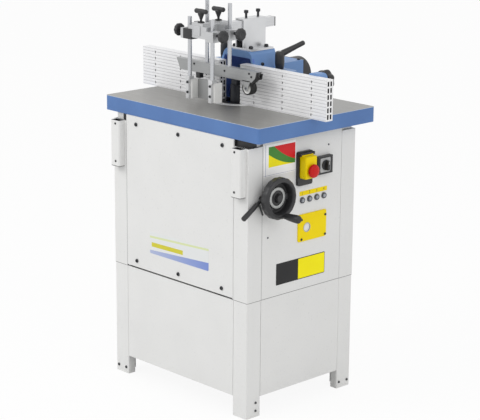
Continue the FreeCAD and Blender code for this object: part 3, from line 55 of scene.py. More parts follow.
# one socket of a material's tree; arithmetic on it adds Math nodes
class Wire:
    def __init__(self, tree, socket=None):
        self.tree, self.socket = tree, socket

    # fills a node's sockets with numbers, colours or wires
    def fill(self, node, sockets):
        for key, value in sockets.items():
            if isinstance(value, Wire):
                self.tree.links.new(value.socket, node.inputs[key])
            else:
                node.inputs[key].default_value = value

    # a node of any type: its settings are made first, then its sockets are filled
    def node(self, kind, sockets=None, out=0, **settings):
        made = self.tree.nodes.new(kind)
        for key, value in settings.items():
            setattr(made, key, value)
        self.fill(made, sockets or {})
        return Wire(self.tree, made.outputs[out])

    def math(self, operation, first, second=0.0):
        return self.node("ShaderNodeMath", {0: first, 1: second}, operation=operation)

    def __add__(self, other):
        return self.math("ADD", self, other)

    __radd__ = __add__

    def __sub__(self, other):
        return self.math("SUBTRACT", self, other)

    def __rsub__(self, other):
        return self.math("SUBTRACT", other, self)

    def __mul__(self, other):
        return self.math("MULTIPLY", self, other)

    __rmul__ = __mul__

    def __truediv__(self, other):
        return self.math("DIVIDE", self, other)

    def __pow__(self, other):
        return self.math("POWER", self, other)

    def __gt__(self, other):
        return self.math("GREATER_THAN", self, other)

    def __lt__(self, other):
        return self.math("LESS_THAN", self, other)

    def __abs__(self):
        return self.math("ABSOLUTE", self)

    # 0 below low, 1 above high, an even slope between
    def ramp(self, low=0.0, high=1.0):
        return self.node("ShaderNodeMapRange", {"Value": self, "From Min": low, "From Max": high})

    # a noise of 0 to 1 that swings about zero instead, by this share in all
    def about(self, share):
        return (self - 0.5) * share

    # 1 between two limits in mm
    def between(self, low, high):
        return (self > low * mm) * (self < high * mm)

    # 1 within a reach of the middle, both in mm
    def near(self, middle, reach):
        return abs(self - middle * mm) < reach * mm

    # x, y and z of a vector socket
    def parts(self):
        split = self.node("ShaderNodeSeparateXYZ", {"Vector": self})
        return [Wire(self.tree, socket) for socket in split.socket.node.outputs]

    # x, y and z measured from a middle in mm
    def partsFrom(self, middle):
        shift = [-v * mm for v in middle]
        return self.node("ShaderNodeMapping", {"Vector": self, "Location": shift}).parts()

    # x, y and z of the direction in which a face looks
    def faceWay(self):
        return self.node("ShaderNodeNewGeometry", out="Normal").parts()

    def noise(self, scale, detail=4.0):
        return self.node("ShaderNodeTexNoise", {"Vector": self, "Scale": scale, "Detail": detail})

    # noise drawn out along the axis with the smallest stretch
    def drawn(self, stretch):
        return self.node("ShaderNodeMapping", {"Vector": self, "Scale": stretch}).noise(1.0)

    # small worn spots
    def specks(self):
        return self.noise(160.0, 5.0).ramp(0.62, 0.8) * 0.15

    # this share of the second colour over the first, each a wire or a screen colour; 6, 7 and 2 are colour sockets
    def mix(self, *colours):
        first, second = (shade(*colour) if isinstance(colour, tuple) else colour for colour in colours)
        return self.node("ShaderNodeMix", {0: self, 6: first, 7: second}, 2, data_type="RGBA")

    # two colours shared out by a noise about its middle
    def tint(self, first, second):
        return self.ramp(0.3, 0.7).mix(first, second)


# a new material and its Object coordinates
def newFinish(name):
    finish = bpy.data.materials.new(name)
    finish.use_nodes = True
    return finish, Wire(finish.node_tree).node("ShaderNodeTexCoord", out="Object")


# fills in a finish's shader; bump is (height, strength, distance in mm)
def dressed(finish, colour, rough, bump, metallic=0.0, gloss=0.5):
    height, strength, distance = bump
    normal = height.node("ShaderNodeBump", {"Height": height, "Strength": strength, "Distance": distance * mm})
    height.fill(finish.node_tree.nodes["Principled BSDF"],
                {"Base Color": colour, "Roughness": rough, "Normal": normal, "Metallic": metallic,
                 "Specular IOR Level": gloss})
    return finish


# paint and plastic: a wide cloud and small specks tint the colour, a fine grain lifts the surface
def coatedFinish(name, look):
    finish, spot = newFinish(name)
    cloud, grain = spot.noise(9.0), spot.noise(look["grain"], 2.0)
    tone = cloud.tint(look["colour"], look["second"])
    colour = spot.specks().mix(tone, look.get("dust", look["second"]))
    rough = look["rough"] + grain.about(0.25) + cloud.about(0.12)
    bump = grain, look.get("bump", 0.25), look.get("depth", 0.2)
    return dressed(finish, colour, rough, bump, gloss=look.get("gloss", 0.5))


# metal: noise drawn out along the grain scratches the roughness, the tint and the surface
def metalFinish(name, look):
    finish, spot = newFinish(name)
    scratch, cloud = spot.drawn(look["stretch"]), spot.noise(14.0)
    colour = (0.55 * scratch + 0.45 * cloud).tint(look["colour"], look["second"])
    rough = look["rough"] + scratch.about(0.3) + cloud.about(0.15)
    return dressed(finish, colour, rough, (scratch, look.get("bump", 0.15), 0.1), look.get("metallic", 1.0))


coats = dict(
    bluePaint=dict(colour=(72, 112, 172), second=(64, 102, 162), grain=520, rough=0.4, depth=0.4, bump=0.35,
                   dust=(96, 130, 180)),
    blackPlastic=dict(colour=(44, 44, 46), second=(36, 36, 38), grain=1300, rough=0.42, dust=(62, 62, 64)),
    softBlack=dict(colour=(28, 28, 29), second=(23, 23, 24), grain=900, rough=0.68, dust=(52, 52, 52)),
    redPlastic=dict(colour=(208, 16, 14), second=(194, 12, 12), grain=1100, rough=0.28, bump=0.1, gloss=0.25),
    greenPlastic=dict(colour=(44, 140, 62), second=(38, 124, 54), grain=1100, rough=0.3, bump=0.1),
    yellowPlastic=dict(colour=(250, 223, 6), second=(244, 215, 4), grain=1000, rough=0.34, bump=0.12, gloss=0.15),
    yellowSheet=dict(colour=(255, 243, 20), second=(250, 236, 16), grain=1000, rough=0.36, bump=0.12, gloss=0.15),
    whitePlastic=dict(colour=(236, 236, 234), second=(227, 227, 225), grain=900, rough=0.4),
    greyPlastic=dict(colour=(186, 187, 188), second=(176, 177, 178), grain=900, rough=0.44),
    beltRubber=dict(colour=(30, 30, 31), second=(24, 24, 25), grain=600, rough=0.8, bump=0.5, depth=0.6),
    lampGlass=dict(colour=(172, 176, 182), second=(146, 150, 158), grain=700, rough=0.12, bump=0.05),
    paleDial=dict(colour=(240, 240, 238), second=(228, 229, 232), grain=1200, rough=0.35))
metals = dict(
    aluminium=dict(colour=(222, 223, 224), second=(205, 206, 208), stretch=(6, 900, 900), rough=0.36),
    brightSteel=dict(colour=(206, 207, 210), second=(186, 188, 192), stretch=(700, 700, 14), rough=0.24),
    zincSteel=dict(colour=(186, 187, 186), second=(160, 162, 160), stretch=(160, 160, 160), rough=0.4),
    darkScrew=dict(colour=(66, 67, 70), second=(48, 49, 52), stretch=(300, 300, 300), rough=0.4, metallic=0.6),
    castIron=dict(colour=(92, 93, 95), second=(74, 75, 77), stretch=(240, 240, 240), rough=0.6, metallic=0.5, bump=0.4),
    darkSteel=dict(colour=(60, 62, 68), second=(42, 44, 49), stretch=(500, 500, 30), rough=0.42, metallic=0.5),
    beamMetal=dict(colour=(174, 175, 175), second=(154, 155, 156), stretch=(6, 800, 800), rough=0.42, metallic=0.85),
    barMetal=dict(colour=(206, 207, 208), second=(186, 187, 189), stretch=(8, 700, 700), rough=0.4, metallic=0.7),
    lampRing=dict(colour=(108, 110, 116), second=(84, 86, 92), stretch=(400, 400, 400), rough=0.3, metallic=0.7))
finishes = {name: coatedFinish(name, look) for name, look in coats.items()}
finishes.update({name: metalFinish(name, look) for name, look in metals.items()})

# edge is the colour of the painted highlight on the table's top edge
tableLook = dict(top=(168, 167, 164), topSecond=(152, 151, 148), paint=(84, 124, 182), paintSecond=(74, 112, 170),
                 edge=(188, 198, 210), edgeZ=848.7, topZ=849.8, stretch=(9, 500, 500), metallic=0.55)


# ground iron where the face looks up at the table's height, a ground top edge with a painted highlight, paint below
def tableFinish(look):
    finish, spot = newFinish("groundTable")
    z = spot.parts()[2]
    ground = (z > look["topZ"] * mm) * (spot.faceWay()[2] > 0.7)
    # the bare top edge, coloured as a painted highlight
    edge = (z > look["edgeZ"] * mm) * (1 - ground)
    swirl, cloud, grain = spot.drawn(look["stretch"]), spot.noise(7.0, 5.0), spot.noise(520.0, 2.0)
    iron = (0.6 * swirl + 0.4 * cloud).tint(look["top"], look["topSecond"])
    paint = cloud.tint(look["paint"], look["paintSecond"])
    colour = edge.mix(ground.mix(paint, iron), look["edge"])
    bare = (ground + edge).ramp()
    rough = 0.4 + bare * (0.02 + swirl.about(0.3)) + grain.about(0.12)
    return dressed(finish, colour, rough, (bare * swirl + (1 - bare) * grain, 0.25, 0.3), bare * look["metallic"])


# seams and what ends in X are (middle, half width), the other pairs (low, high)
# joint and dark are painted shade: joint in the seams, also tinting worn specks; dark over the posts, in sockets and
# rims
cabinetLook = dict(colour=(229, 229, 228), second=(226, 226, 225), joint=(112, 112, 112), dark=(34, 34, 36),
                   grain=750, frontSeam=(-229.4, 1.5), sideSeam=(-158.9, 1.3), lowSeam=(344.5, 0.9), skinWide=281,
                   skinDeep=209, recessX=(13.75, 265.75), recessY=(-207, -175), recessLow=786.2, tubeX=(258, 17.2),
                   tubeY=(-233.8, -213.8), tubeZ=(648, 786.2), rimX=(258, 19.6), rimY=-214.3, rimZ=(646, 650.5))


# powder coat with painted shade: in the sheet joints, the recess over the posts, inside the sockets and under their
# rims
def cabinetFinish(look):
    finish, spot = newFinish("cabinetPaint")
    x, y, z = spot.parts()
    wide, deep = abs(x), abs(y)
    front = x.near(*look["frontSeam"]) * (deep > look["skinDeep"] * mm)
    side = y.near(*look["sideSeam"]) * (wide > look["skinWide"] * mm) * 0.7
    joint = (front + side) * (z > look["lowSeam"][0] * mm) + z.near(*look["lowSeam"]) * 0.8
    # painted shade under the table's overhang, on the front of the frame over the posts
    recessShade = (z > look["recessLow"] * mm) * x.near(*look["recessX"]) * y.between(*look["recessY"])
    # painted shade inside the corner sockets
    socketShade = wide.near(*look["tubeX"]) * y.between(*look["tubeY"]) * z.between(*look["tubeZ"])
    # painted shadow under the sockets' bottom rims
    rim = wide.near(*look["rimX"]) * (y < look["rimY"] * mm) * z.between(*look["rimZ"]) * 0.7
    cloud, grain = spot.noise(9.0), spot.noise(look["grain"], 2.0)
    paint = cloud.tint(look["colour"], look["second"])
    paint = (joint + spot.specks()).ramp().mix(paint, look["joint"])
    colour = (recessShade + socketShade + rim).ramp().mix(paint, look["dark"])
    return dressed(finish, colour, 0.44 + grain.about(0.25) + cloud.about(0.12), (grain, 0.25, 0.25))


# inside is the colour of the painted shade in the hood
castLook = dict(paint=(112, 150, 202), second=(102, 140, 192), inside=(90, 117, 192), hood=(0, 20, 0),
                hoodR=62.6 * mm, cone=946 * mm, slope=0.353, roof=980.6 * mm, mouthX=(0, 66.3), mouthY=(-5.55, 1))


# painted casting: sand-cast grain, painted shade in its mouth and in the round hood, which narrows above the cone's
# height
def castingFinish(look):
    finish, spot = newFinish("castingPaint")
    x, y, z = spot.partsFrom(look["hood"])
    room = look["hoodR"] - z.math("MAXIMUM", z - look["cone"], 0.0) * look["slope"]
    core = (x * x + y * y) ** 0.5 < room
    mouth = x.near(*look["mouthX"]) * y.between(*look["mouthY"])
    # painted shade inside the hood and its mouth
    inside = (core + mouth).ramp() * (z < look["roof"])
    cloud, sand = spot.noise(11.0, 5.0), spot.noise(380.0, 3.0)
    colour = inside.mix(cloud.tint(look["paint"], look["second"]), look["inside"])
    return dressed(finish, colour, 0.44 + sand.about(0.3), (sand, 0.4, 0.5))


cappedLooks = dict(
    armMetal=dict(limit=151.2, colour=(220, 221, 222), second=(204, 205, 207), metallic=0.7, stretch=(700, 8, 700),
                  cap=(38, 38, 40), capSecond=(30, 30, 32), capMetallic=0.0),
    shoeMetal=dict(limit=-110, colour=(216, 217, 218), second=(200, 201, 203), metallic=0.6, stretch=(500, 500, 8),
                   cap=(164, 165, 165), capSecond=(150, 151, 152), capMetallic=0.6))


# a drawn metal section that changes to its cap's colour past the limit along Y
def cappedFinish(name, look):
    finish, spot = newFinish(name)
    cap = spot.parts()[1] > look["limit"] * mm
    scratch, grain = spot.drawn(look["stretch"]), spot.noise(1000.0, 2.0)
    metal, end = scratch.tint(look["colour"], look["second"]), grain.tint(look["cap"], look["capSecond"])
    rough = 0.38 + scratch.about(0.25) + cap * 0.06
    metallic = look["metallic"] + cap * (look["capMetallic"] - look["metallic"])
    return dressed(finish, cap.mix(metal, end), rough, ((1 - cap) * scratch + cap * grain, 0.2, 0.15), metallic)


fenceLook = dict(colour=(246, 246, 247), second=(236, 236, 238), line=(150, 151, 154), hollowShade=(46, 46, 48),
                 stretch=(6, 900, 900), metallic=0.15, first=852.8 * mm, pitch=9.25 * mm, lineHalf=0.1,
                 front=-11.3 * mm, deep=-10.5 * mm, back=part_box("right_fence_plate")[1][1] - 0.5 * mm,
                 hollowZ=(853, 963.5))


# extruded plate: drawn along X, with painted shadow in each groove of its front face and painted shade in the hollows
def fenceFinish(look):
    finish, spot = newFinish("fenceMetal")
    y, z = spot.parts()[1:]
    step = abs(z.math("FRACT", (z - look["first"]) / look["pitch"] + 0.5) - 0.5)
    line = (step < look["lineHalf"]) * (y < look["front"])
    across, out = spot.faceWay()[:2]
    deep = ((y > look["deep"]) + (abs(out) < 0.5)).ramp()
    # painted shade inside the plate's hollow chambers
    hollowShade = deep * (y < look["back"]) * z.between(*look["hollowZ"]) * (abs(across) < 0.7)
    scratch, cloud = spot.drawn(look["stretch"]), spot.noise(14.0)
    metal = (0.55 * scratch + 0.45 * cloud).tint(look["colour"], look["second"])
    colour = hollowShade.mix((line * 0.4).mix(metal, look["line"]), look["hollowShade"])
    return dressed(finish, colour, 0.4 + scratch.about(0.3) + line * 0.2, (scratch, 0.15, 0.1), look["metallic"])


ringLook = dict(bright=(250, 250, 249), second=(238, 238, 237), dark=(38, 39, 42), darkSecond=(28, 29, 31),
                split=57.85 * mm, middle=(0, 20, 0), turning=9000.0)


# table rings: circles of fine turning marks, the outer ring bright and the inner one blackened
def ringFinish(look):
    finish, spot = newFinish("turnedRings")
    x, y = spot.partsFrom(look["middle"])[:2]
    radius = (x * x + y * y) ** 0.5
    marks = radius.math("SINE", radius * look["turning"]) * 0.5 + 0.5
    cloud, outer = spot.noise(30.0), radius > look["split"]
    bright = (0.5 * marks + 0.5 * cloud).mix(look["bright"], look["second"])
    colour = outer.mix(cloud.mix(look["dark"], look["darkSecond"]), bright)
    return dressed(finish, colour, 0.36 + cloud.about(0.2), (marks, 0.1, 0.05), outer * 0.1)


finishes.update({name: cappedFinish(name, look) for name, look in cappedLooks.items()})
finishes.update(cabinetPaint=cabinetFinish(cabinetLook), groundTable=tableFinish(tableLook),
                castingPaint=castingFinish(castLook), fenceMetal=fenceFinish(fenceLook),
                turnedRings=ringFinish(ringLook))

# the solids that show as they are, by finish
nodeFinish = dict(
    cabinetPaint="upper_frame lower_panels front_cover upper_panels control_panel corner_sockets",
    groundTable="table", turnedRings="table_rings", castingPaint="fence_casting",
    blackPlastic="switch_base selector_plate dust_port", greenPlastic="start_button",
    castIron="screw_bracket spindle_bracket quill_carriage motor_pulley spindle_pulley",
    brightSteel="height_shaft leadscrew spindle_bearings front_rods rear_rods", darkSteel="spindle_shaft",
    bluePaint="motor", beltRubber="drive_belt", fenceMetal="left_fence_plate right_fence_plate",
    beamMetal="press_beam", aluminium="guard_column", shoeMetal="press_shoe", whitePlastic="shoe_cheeks",
    barMetal="front_cross_bar rear_cross_bar", armMetal="guard_arm")
for coat, names in nodeFinish.items():
    for name in names.split():
        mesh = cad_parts[name].data
        mesh.materials.clear()
        mesh.materials.append(finishes[coat])
print("finishes:", len(finishes))

# the local Z of a new shell points along the named direction, seen from outside with X to the right and Y up
facing = {"z": [[1, 0, 0], [0, 1, 0], [0, 0, 1]], "x": [[0, 1, 0], [0, 0, 1], [1, 0, 0]],
          "-x": [[0, -1, 0], [0, 0, 1], [-1, 0, 0]], "-y": [[1, 0, 0], [0, 0, 1], [0, -1, 0]],
          "y": [[-1, 0, 0], [0, 0, 1], [0, 1, 0]]}


# turns a grid about its own Z by spin degrees, points Z along the direction and moves it to the spot
def placed(grid, spot, direction="z", spin=0.0):
    c, s = np.cos(np.radians(spin)), np.sin(np.radians(spin))
    turn = np.array([[c, s, 0], [-s, c, 0], [0, 0, 1]]) @ facing[direction]
    return grid @ turn + spot


# several shells with their finishes, all placed alike
def allPlaced(shells, spot, direction="z"):
    return [(placed(grid, spot, direction), coat) for grid, coat in shells]


def unit(vectors):
    return vectors / np.linalg.norm(vectors, axis=-1, keepdims=True)


# flat points lifted to one height
def raised(points, height):
    return np.insert(points, 2, height, axis=1)


def circle(count):
    return np.linspace(0, 2 * np.pi, count, endpoint=False)


def polar(r, a):
    return np.stack([r * np.cos(a), r * np.sin(a)], -1)


# each inner corner of an open profile becomes a quadratic curve that starts and ends `reach` from it
def softCorners(points, reach, steps=4):
    points = np.asarray(points, float)
    corner = points[1:-1]
    back, ahead = points[:-2] - corner, points[2:] - corner
    start, stop = (corner + way * np.minimum(reach / np.linalg.norm(way, axis=1, keepdims=True), 0.48)
                   for way in (back, ahead))
    t = np.linspace(0, 1, steps)[None, :, None]
    curve = (1 - t) ** 2 * start[:, None] + 2 * t * (1 - t) * corner[:, None] + t ** 2 * stop[:, None]
    return np.concatenate([points[:1], curve.reshape(-1, 2), points[-1:]])


# surface of revolution about Z: (r cos a, r sin a, h); past lobeFrom the radius swells by depth * cos(lobes * a)
def turned(profile, around=48, lobes=0, depth=0.0, lobeFrom=0.0):
    profile = np.asarray(profile, float)
    a = circle(around)[None]
    r, h = profile[:, :1], profile[:, 1:2]
    weight = np.clip((r - lobeFrom) / max(profile[:, 0].max() - lobeFrom, 1e-6), 0, 1)
    swell = r * (1 + depth * weight * np.cos(lobes * a))
    return np.stack([swell * np.cos(a), swell * np.sin(a), np.broadcast_to(h, swell.shape)], -1)


# plain surface of revolution from a profile with softened corners
def lathe(profile, reach, around=48, steps=4):
    return turned(softCorners(profile, reach, steps), around)


# straight bar: a circle carried along a line, p(s) + r(s) (n cos a + b sin a), with n and b square to the heading;
# r(s) is read between the radii given at distances, and both ends close on the line
def bar(start, heading, distances, radii, helper=(0, 0, 1), along=60, around=20):
    heading = unit(heading)
    n = unit(np.cross(heading, helper))
    b = np.cross(heading, n)
    s = np.unique(np.concatenate([np.linspace(distances[0], distances[-1], along), distances]))
    r = np.concatenate([[0], np.interp(s, distances, radii), [0]])[:, None, None]
    s = np.concatenate([[s[0] - 1e-4], s, [s[-1] + 1e-4]])[:, None, None]
    a = circle(around)[:, None]
    return start + s * heading + r * (n * np.cos(a) + b * np.sin(a))


# rounded rectangle: the middle of each corner plus the corner's radius times (cos a, sin a)
def outline(half, corner, quarter=6):
    a = np.concatenate([np.linspace(q, q + 1, quarter) for q in range(4)]) * np.pi / 2
    sign = np.repeat(np.array([[1, 1], [-1, 1], [-1, -1], [1, -1]]), quarter, axis=0)
    return sign * np.subtract(half, corner) + polar(corner, a)


# rounded rectangles drawn at each (inset, height) and joined in turn; both ends close on the middle
def stacked(half, corner, layers):
    rings = [raised(outline(np.subtract(half, inset), max(corner - inset, 0.05)), height) for inset, height in layers]
    return np.stack([rings[0] * (0, 0, 1), *rings, rings[-1] * (0, 0, 1)])


# block with rounded edges: quarter circles of inset against height at both ends
def softBlock(low, high, edge):
    low, high = np.array([low, high], float)
    t = np.linspace(0, np.pi / 2, 5)
    inset, rise = edge * (1 - np.sin(t)), edge * (1 - np.cos(t))
    layers = [*zip(inset, rise), *zip(inset[::-1], high[2] - low[2] - rise[::-1])]
    return stacked((high - low)[:2] / 2, edge * 1.01, layers) + (*(low + high)[:2] / 2, low[2])


# thin plate with rounded corners and a small bevel
def plate(half, corner, thick):
    bevel = min(0.3, thick * 0.4)
    return stacked(half, corner, [(0, 0), (0, thick - bevel), (bevel, thick)])


# a closed outline read again at even steps
def evenly(line, count=96):
    closed = np.vstack([line, line[:1]])
    s = np.concatenate([[0], np.cumsum(np.linalg.norm(np.diff(closed, axis=0), axis=1))])
    t = np.linspace(0, s[-1], count, endpoint=False)
    return np.column_stack([np.interp(t, s, closed[:, i]) for i in (0, 1)])


# flat plate from a round hole to a rounded rectangle: each outline point is joined to hole + radius * (its direction)
def pierced(half, corner, thick, hole, radius, bevel):
    edge, inset = (evenly(outline(np.subtract(half, d), corner - d, 10)) for d in (0, bevel))
    ring = hole + radius * unit(edge - hole)
    rows = [(ring, 0), (edge, 0), (edge, thick - bevel), (inset, thick), (ring, thick), (ring, 0)]
    return np.stack([raised(row, height) for row, height in rows])


# flat bar: a closed outline in X and Z carried along Y, its two faces drawn in a little towards the middle
def flatBar(points, low, high, bevel=0.4):
    ring = np.array(points, float)
    middle = ring.mean(0) + ring * 0
    drawn = middle + (ring - middle) * (1 - bevel / np.linalg.norm(ring - middle, axis=1).max())
    rows = [(middle, low), (drawn, low), (ring, low + bevel), (ring, high - bevel), (drawn, high), (middle, high)]
    return np.stack([np.insert(row, 1, y, axis=1) for row, y in rows])


# screw head: a domed turned outside, then a hexagon of radius apothem / cos(a) sunk into it
def screwHead(radius, high, socket=0.5, sunk=0.55, around=24):
    side = [(0, 0), (radius, 0), (radius, high * 0.55), (radius * 0.78, high), (radius * socket * 1.12, high)]
    a = circle(around)
    r = radius * socket * np.cos(np.pi / 6) / np.cos((a + np.pi / 6) % (np.pi / 3) - np.pi / 6)
    hexagon = polar(r, a)
    floor = high * (1 - sunk)
    hole = np.stack([raised(hexagon, high), raised(hexagon, floor), raised(hexagon * 0, floor)])
    return np.concatenate([lathe(side, radius * 0.2, around), hole])


def linked(name, data):
    made = bpy.data.objects.new(name, data)
    bpy.context.scene.collection.objects.link(made)
    return made


# an object for a finished mesh, riding on its body
def mounted(name, mesh, body, slot, replaced=()):
    piece = linked(name, mesh)
    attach(piece, body)
    if replaced:
        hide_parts(*replaced)


sharpAngle, weldReach = np.radians(34), 2e-6


# joins grids of points into one mesh: neighbouring rows and columns make a face, and each row's end meets its start
def addPiece(name, shells, body, slot, replaced=()):
    points, faces, kinds, start = [], [], [], 0
    used = list(dict.fromkeys(coat for grid, coat in shells))
    for grid, coat in shells:
        rows, around = grid.shape[:2]
        index = start + np.arange(rows * around).reshape(rows, around)
        ahead = np.roll(index, -1, axis=1)
        quads = np.stack([index[:-1], ahead[:-1], ahead[1:], index[1:]], -1).reshape(-1, 4)
        points.append(grid.reshape(-1, 3))
        faces.append(quads)
        kinds.append(np.full(len(quads), used.index(coat)))
        start += rows * around
    mesh = bpy.data.meshes.new(name)
    mesh.from_pydata((np.concatenate(points) * mm).tolist(), [], np.concatenate(faces).tolist())
    mesh.polygons.foreach_set("material_index", np.concatenate(kinds).astype(np.int32))
    work = bmesh.new()
    work.from_mesh(mesh)
    bmesh.ops.remove_doubles(work, verts=work.verts, dist=weldReach)
    bmesh.ops.recalc_face_normals(work, faces=work.faces)
    work.to_mesh(mesh)
    work.free()
    mesh.shade_smooth()
    mesh.set_sharp_from_angle(angle=sharpAngle)
    for coat in used:
        mesh.materials.append(finishes[coat])
    mounted(name, mesh, body, slot, replaced)


# a piece that stands for the one node with its body's name
def addMoving(name, shells, body, slot="black_plastic"):
    addPiece(name, shells, body, slot, [body])


screws = dict(
    cover=dict(spots=[(x, -215.5, z) for z in (782, 368.5) for x in (-184, 0, 184)], way="-y", radius=6, high=3.8),
    frontLeg=dict(spots=[(-274.5, -214, 19), (-240.5, -214, 19)], way="-y", radius=4.4, high=3),
    backLeg=dict(spots=[(-274.5, 214, 19), (-240.5, 214, 19)], way="y", radius=4.4, high=3),
    sideLeg=dict(spots=[(286.5, y, z) for y, z in ((202, 19), (168, 19), (-178, 19), (-178, 43))], way="x",
                 radius=3.8, high=3, finish="castIron"),
    panel=dict(spots=[(285.5, 104, 754), (285.5, -135.5, 522)], way="x", radius=2.9, high=1.6, finish="lampRing"),
    socket=dict(spots=[(x, -236, z) for x in (-254, 254) for z in (777, 664)], way="-y", radius=3.4, high=1.8),
    window=dict(spots=[(289.5, y, z) for y in (-5, 91.5) for z in (493, 551)], way="x", radius=3.8, high=2.4))


def addScrews(look):
    heads = [(placed(screwHead(group["radius"], group["high"]), spot, group["way"], 15),
              group.get("finish", "darkScrew")) for group in look.values() for spot in group["spots"]]
    addPiece("cabinetScrews", heads, "cabinet", "zinc_steel", ["cabinet_screws"])
    print("screws:", len(heads))


addScrews(screws)

legs = dict(corner=(286.5, 214), wide=(57, 55), fold=25, bend=4, sheet=2.5, top=344.5, foot=(1.25, 40.25), plate=4,
            hole=5.5, inset=30)


# folded leg: an upright strip carried along its plan, p(s) and p(s) + sheet * n(s), over a pierced foot
def addLegs(look):
    wx, wy = look["wide"]
    fold, top = look["fold"], look["top"]
    plan = softCorners([(fold, wy), (0, wy), (0, 0), (wx, 0), (wx, fold)], look["bend"], 6)
    along = unit(np.gradient(plan, axis=0))
    inner = plan + look["sheet"] * np.column_stack([-along[:, 1], along[:, 0]])
    rows = np.stack([raised(edge, z) for edge, z in ((plan, 0), (plan, top), (inner, top), (inner, 0))], 1)
    ends = [np.tile(rows[i].mean(0), (4, 1)) for i in (0, -1)]
    strip = np.stack([ends[0], *rows, ends[1]])
    low, high = look["foot"]
    half, middle = (high - low) / 2, (low + high) / 2
    foot = pierced((half, half), 1, look["plate"], (look["inset"] - middle,) * 2, look["hole"], 0.3)
    shells = [(grid * (-sx, -sy, 1) + (sx * look["corner"][0], sy * look["corner"][1], 0), "cabinetPaint")
              for sx in (-1, 1) for sy in (-1, 1) for grid in (strip, foot + (middle, middle, 0))]
    addPiece("lowerLegs", shells, "cabinet", "painted_metal_white", ["lower_legs"])


addLegs(legs)

wheel = dict(spot=(302.5, -135, 643.5), rim=59.3, inner=44, deep=38, web=11, hub=21.5, scallops=18, cut=0.01, turn=-4,
             ringR=31, ringHigh=20, spokes=3, spokeHalf=8.5, grip=(340.8, -123.527, 593.807), gripLong=56, gripR=11.6)


def addHandwheel(look):
    rim, inner, deep, web, hub = (look[k] for k in ("rim", "inner", "deep", "web", "hub"))
    # the web between hub and rim is closed black plastic: a dark sheet for the shade seen through the windows between
    # the spokes
    side = [(0, 0), (17, 0), (17, 5), (inner, 5), (inner + 4, 10), (rim - 5, 10), (rim, 15), (rim, deep - 5),
            (rim - 5, deep), (inner + 4, deep), (inner + 0.5, deep - 5), (inner - 1, web), (hub, web), (hub, 17),
            (hub - 1.5, 18), (12, 18), (11, 29.4), (9.5, 30.6), (0, 30.6)]
    disc = turned(softCorners(side, 3.2, 6), 144, look["scallops"], look["cut"], rim - 6)
    out, high, half = look["ringR"], look["ringHigh"], look["spokeHalf"]
    ring = lathe([(hub - 0.2, web - 1), (out, web - 1), (out, high - 1.6), (out - 1.2, high), (hub + 1, high),
                  (hub - 0.2, high - 1), (hub - 0.2, web - 1)], 0.8, 72)
    spoke = softBlock((29, -half, web - 1), (inner + 1.5, half, web + 4.6), 1.4)
    spokes = [(placed(spoke, (0, 0, 0), "z", 360 / look["spokes"] * i + look["turn"]), "castIron")
              for i in range(look["spokes"])]
    shells = allPlaced([(disc, "blackPlastic"), (ring, "zincSteel"), *spokes], look["spot"], "x")
    addMoving("handwheelDisc", shells, "handwheel")
    r, long = look["gripR"], look["gripLong"]
    sleeve = lathe([(0, 0), (r * 0.78, 0), (r * 0.74, 4), (r * 0.86, long * 0.3), (r, long * 0.72), (r, long * 0.93),
                    (r * 0.82, long * 0.995), (0, long)], 3, 40, 6)
    addMoving("handwheelGrip", [(placed(sleeve, look["grip"], "x"), "blackPlastic")], "handwheel_grip")
    print("handwheel: rim", rim, "mm")


addHandwheel(wheel)

lock = dict(spot=(290, -168, 641), mid=295.5, drop=32, arm=28, grip=60, hubR=8, tail=24)


def addLockLever(look):
    y, z = look["spot"][1:]
    r, drop, lean = look["hubR"], np.radians(look["drop"]), np.radians(look["tail"])
    hub = lathe([(0, -12), (5, -12), (5, 0), (7, 0), (r, 2), (r, 9), (6.4, 11), (0, 11)], 1.2, 40)
    start, end = look["arm"], look["arm"] + look["grip"]
    arm = bar((look["mid"], y, z), (0, -np.cos(drop), -np.sin(drop)),
              [0, 10, start - 8, start - 5, start, end - 12, end - 3, end - 1, end],
              [6, 4.8, 5, 7, 6.6, 7.5, 7.2, 5.4, 3], (1, 0, 0))
    reach = start * 0.6
    tail = bar((look["mid"], y - reach * np.cos(drop), z - reach * np.sin(drop)), (0, np.sin(lean), -np.cos(lean)),
               [0, 39, 41, 42], [2.5, 2.5, 1.8, 0.6], (1, 0, 0))
    shells = [(placed(hub, look["spot"], "x"), "blackPlastic"), (arm, "blackPlastic"), (tail, "darkScrew")]
    addMoving("lockLever", shells, "lock_lever")


addLockLever(lock)

switch = dict(spot=(295, 2, 707.5), half=(23, 32.5), corner=5, deep=24, wall=2.5, hinge=(299, 744), hingeR=4,
              web=((295.2, 738), (302.8, 743.6)), stop=(319, 2, 699), stopR=19.6)


def addSwitch(look):
    wall, deep, half, r = (look[k] for k in ("wall", "deep", "half", "hingeR"))
    layers = [(wall, deep - wall), (wall, 0), (0, 0), (0, deep - 5), (0.6, deep - 2.6), (2.2, deep - 0.8), (4.5, deep)]
    box = placed(stacked(half, look["corner"], layers), look["spot"], "x")
    y0, long = look["spot"][1] - half[0], 2 * half[0]
    barrel = bar((look["hinge"][0], y0, look["hinge"][1]), (0, 1, 0), [0, 1, long - 1, long], [r - 0.8, r, r, r - 0.8],
                 (1, 0, 0))
    (lowX, lowZ), (highX, highZ) = look["web"]
    web = softBlock((lowX, y0 + 0.3, lowZ), (highX, y0 + long - 0.3, highZ), 0.8)
    shells = [(box, "yellowPlastic"), (barrel, "blackPlastic"), (web, "yellowPlastic")]
    addMoving("switchFlap", shells, "switch_cover", "yellow_plastic")
    r = look["stopR"]
    cap = lathe([(0, -5.5), (7, -5.5), (7, 5), (r - 1, 5), (r, 6.5), (r, 10), (r * 0.88, 14.2), (r * 0.5, 16.6),
                 (0, 17)], 2.6, 56, 6)
    addMoving("stopMushroom", [(placed(cap, look["stop"], "x"), "redPlastic")], "stop_button", "red_plastic")


addSwitch(switch)

selector = dict(spot=(298.5, 79, 700), plate=(20.5, 20.5), knobR=15, bar=(4.5, 14.2), front=15.3)


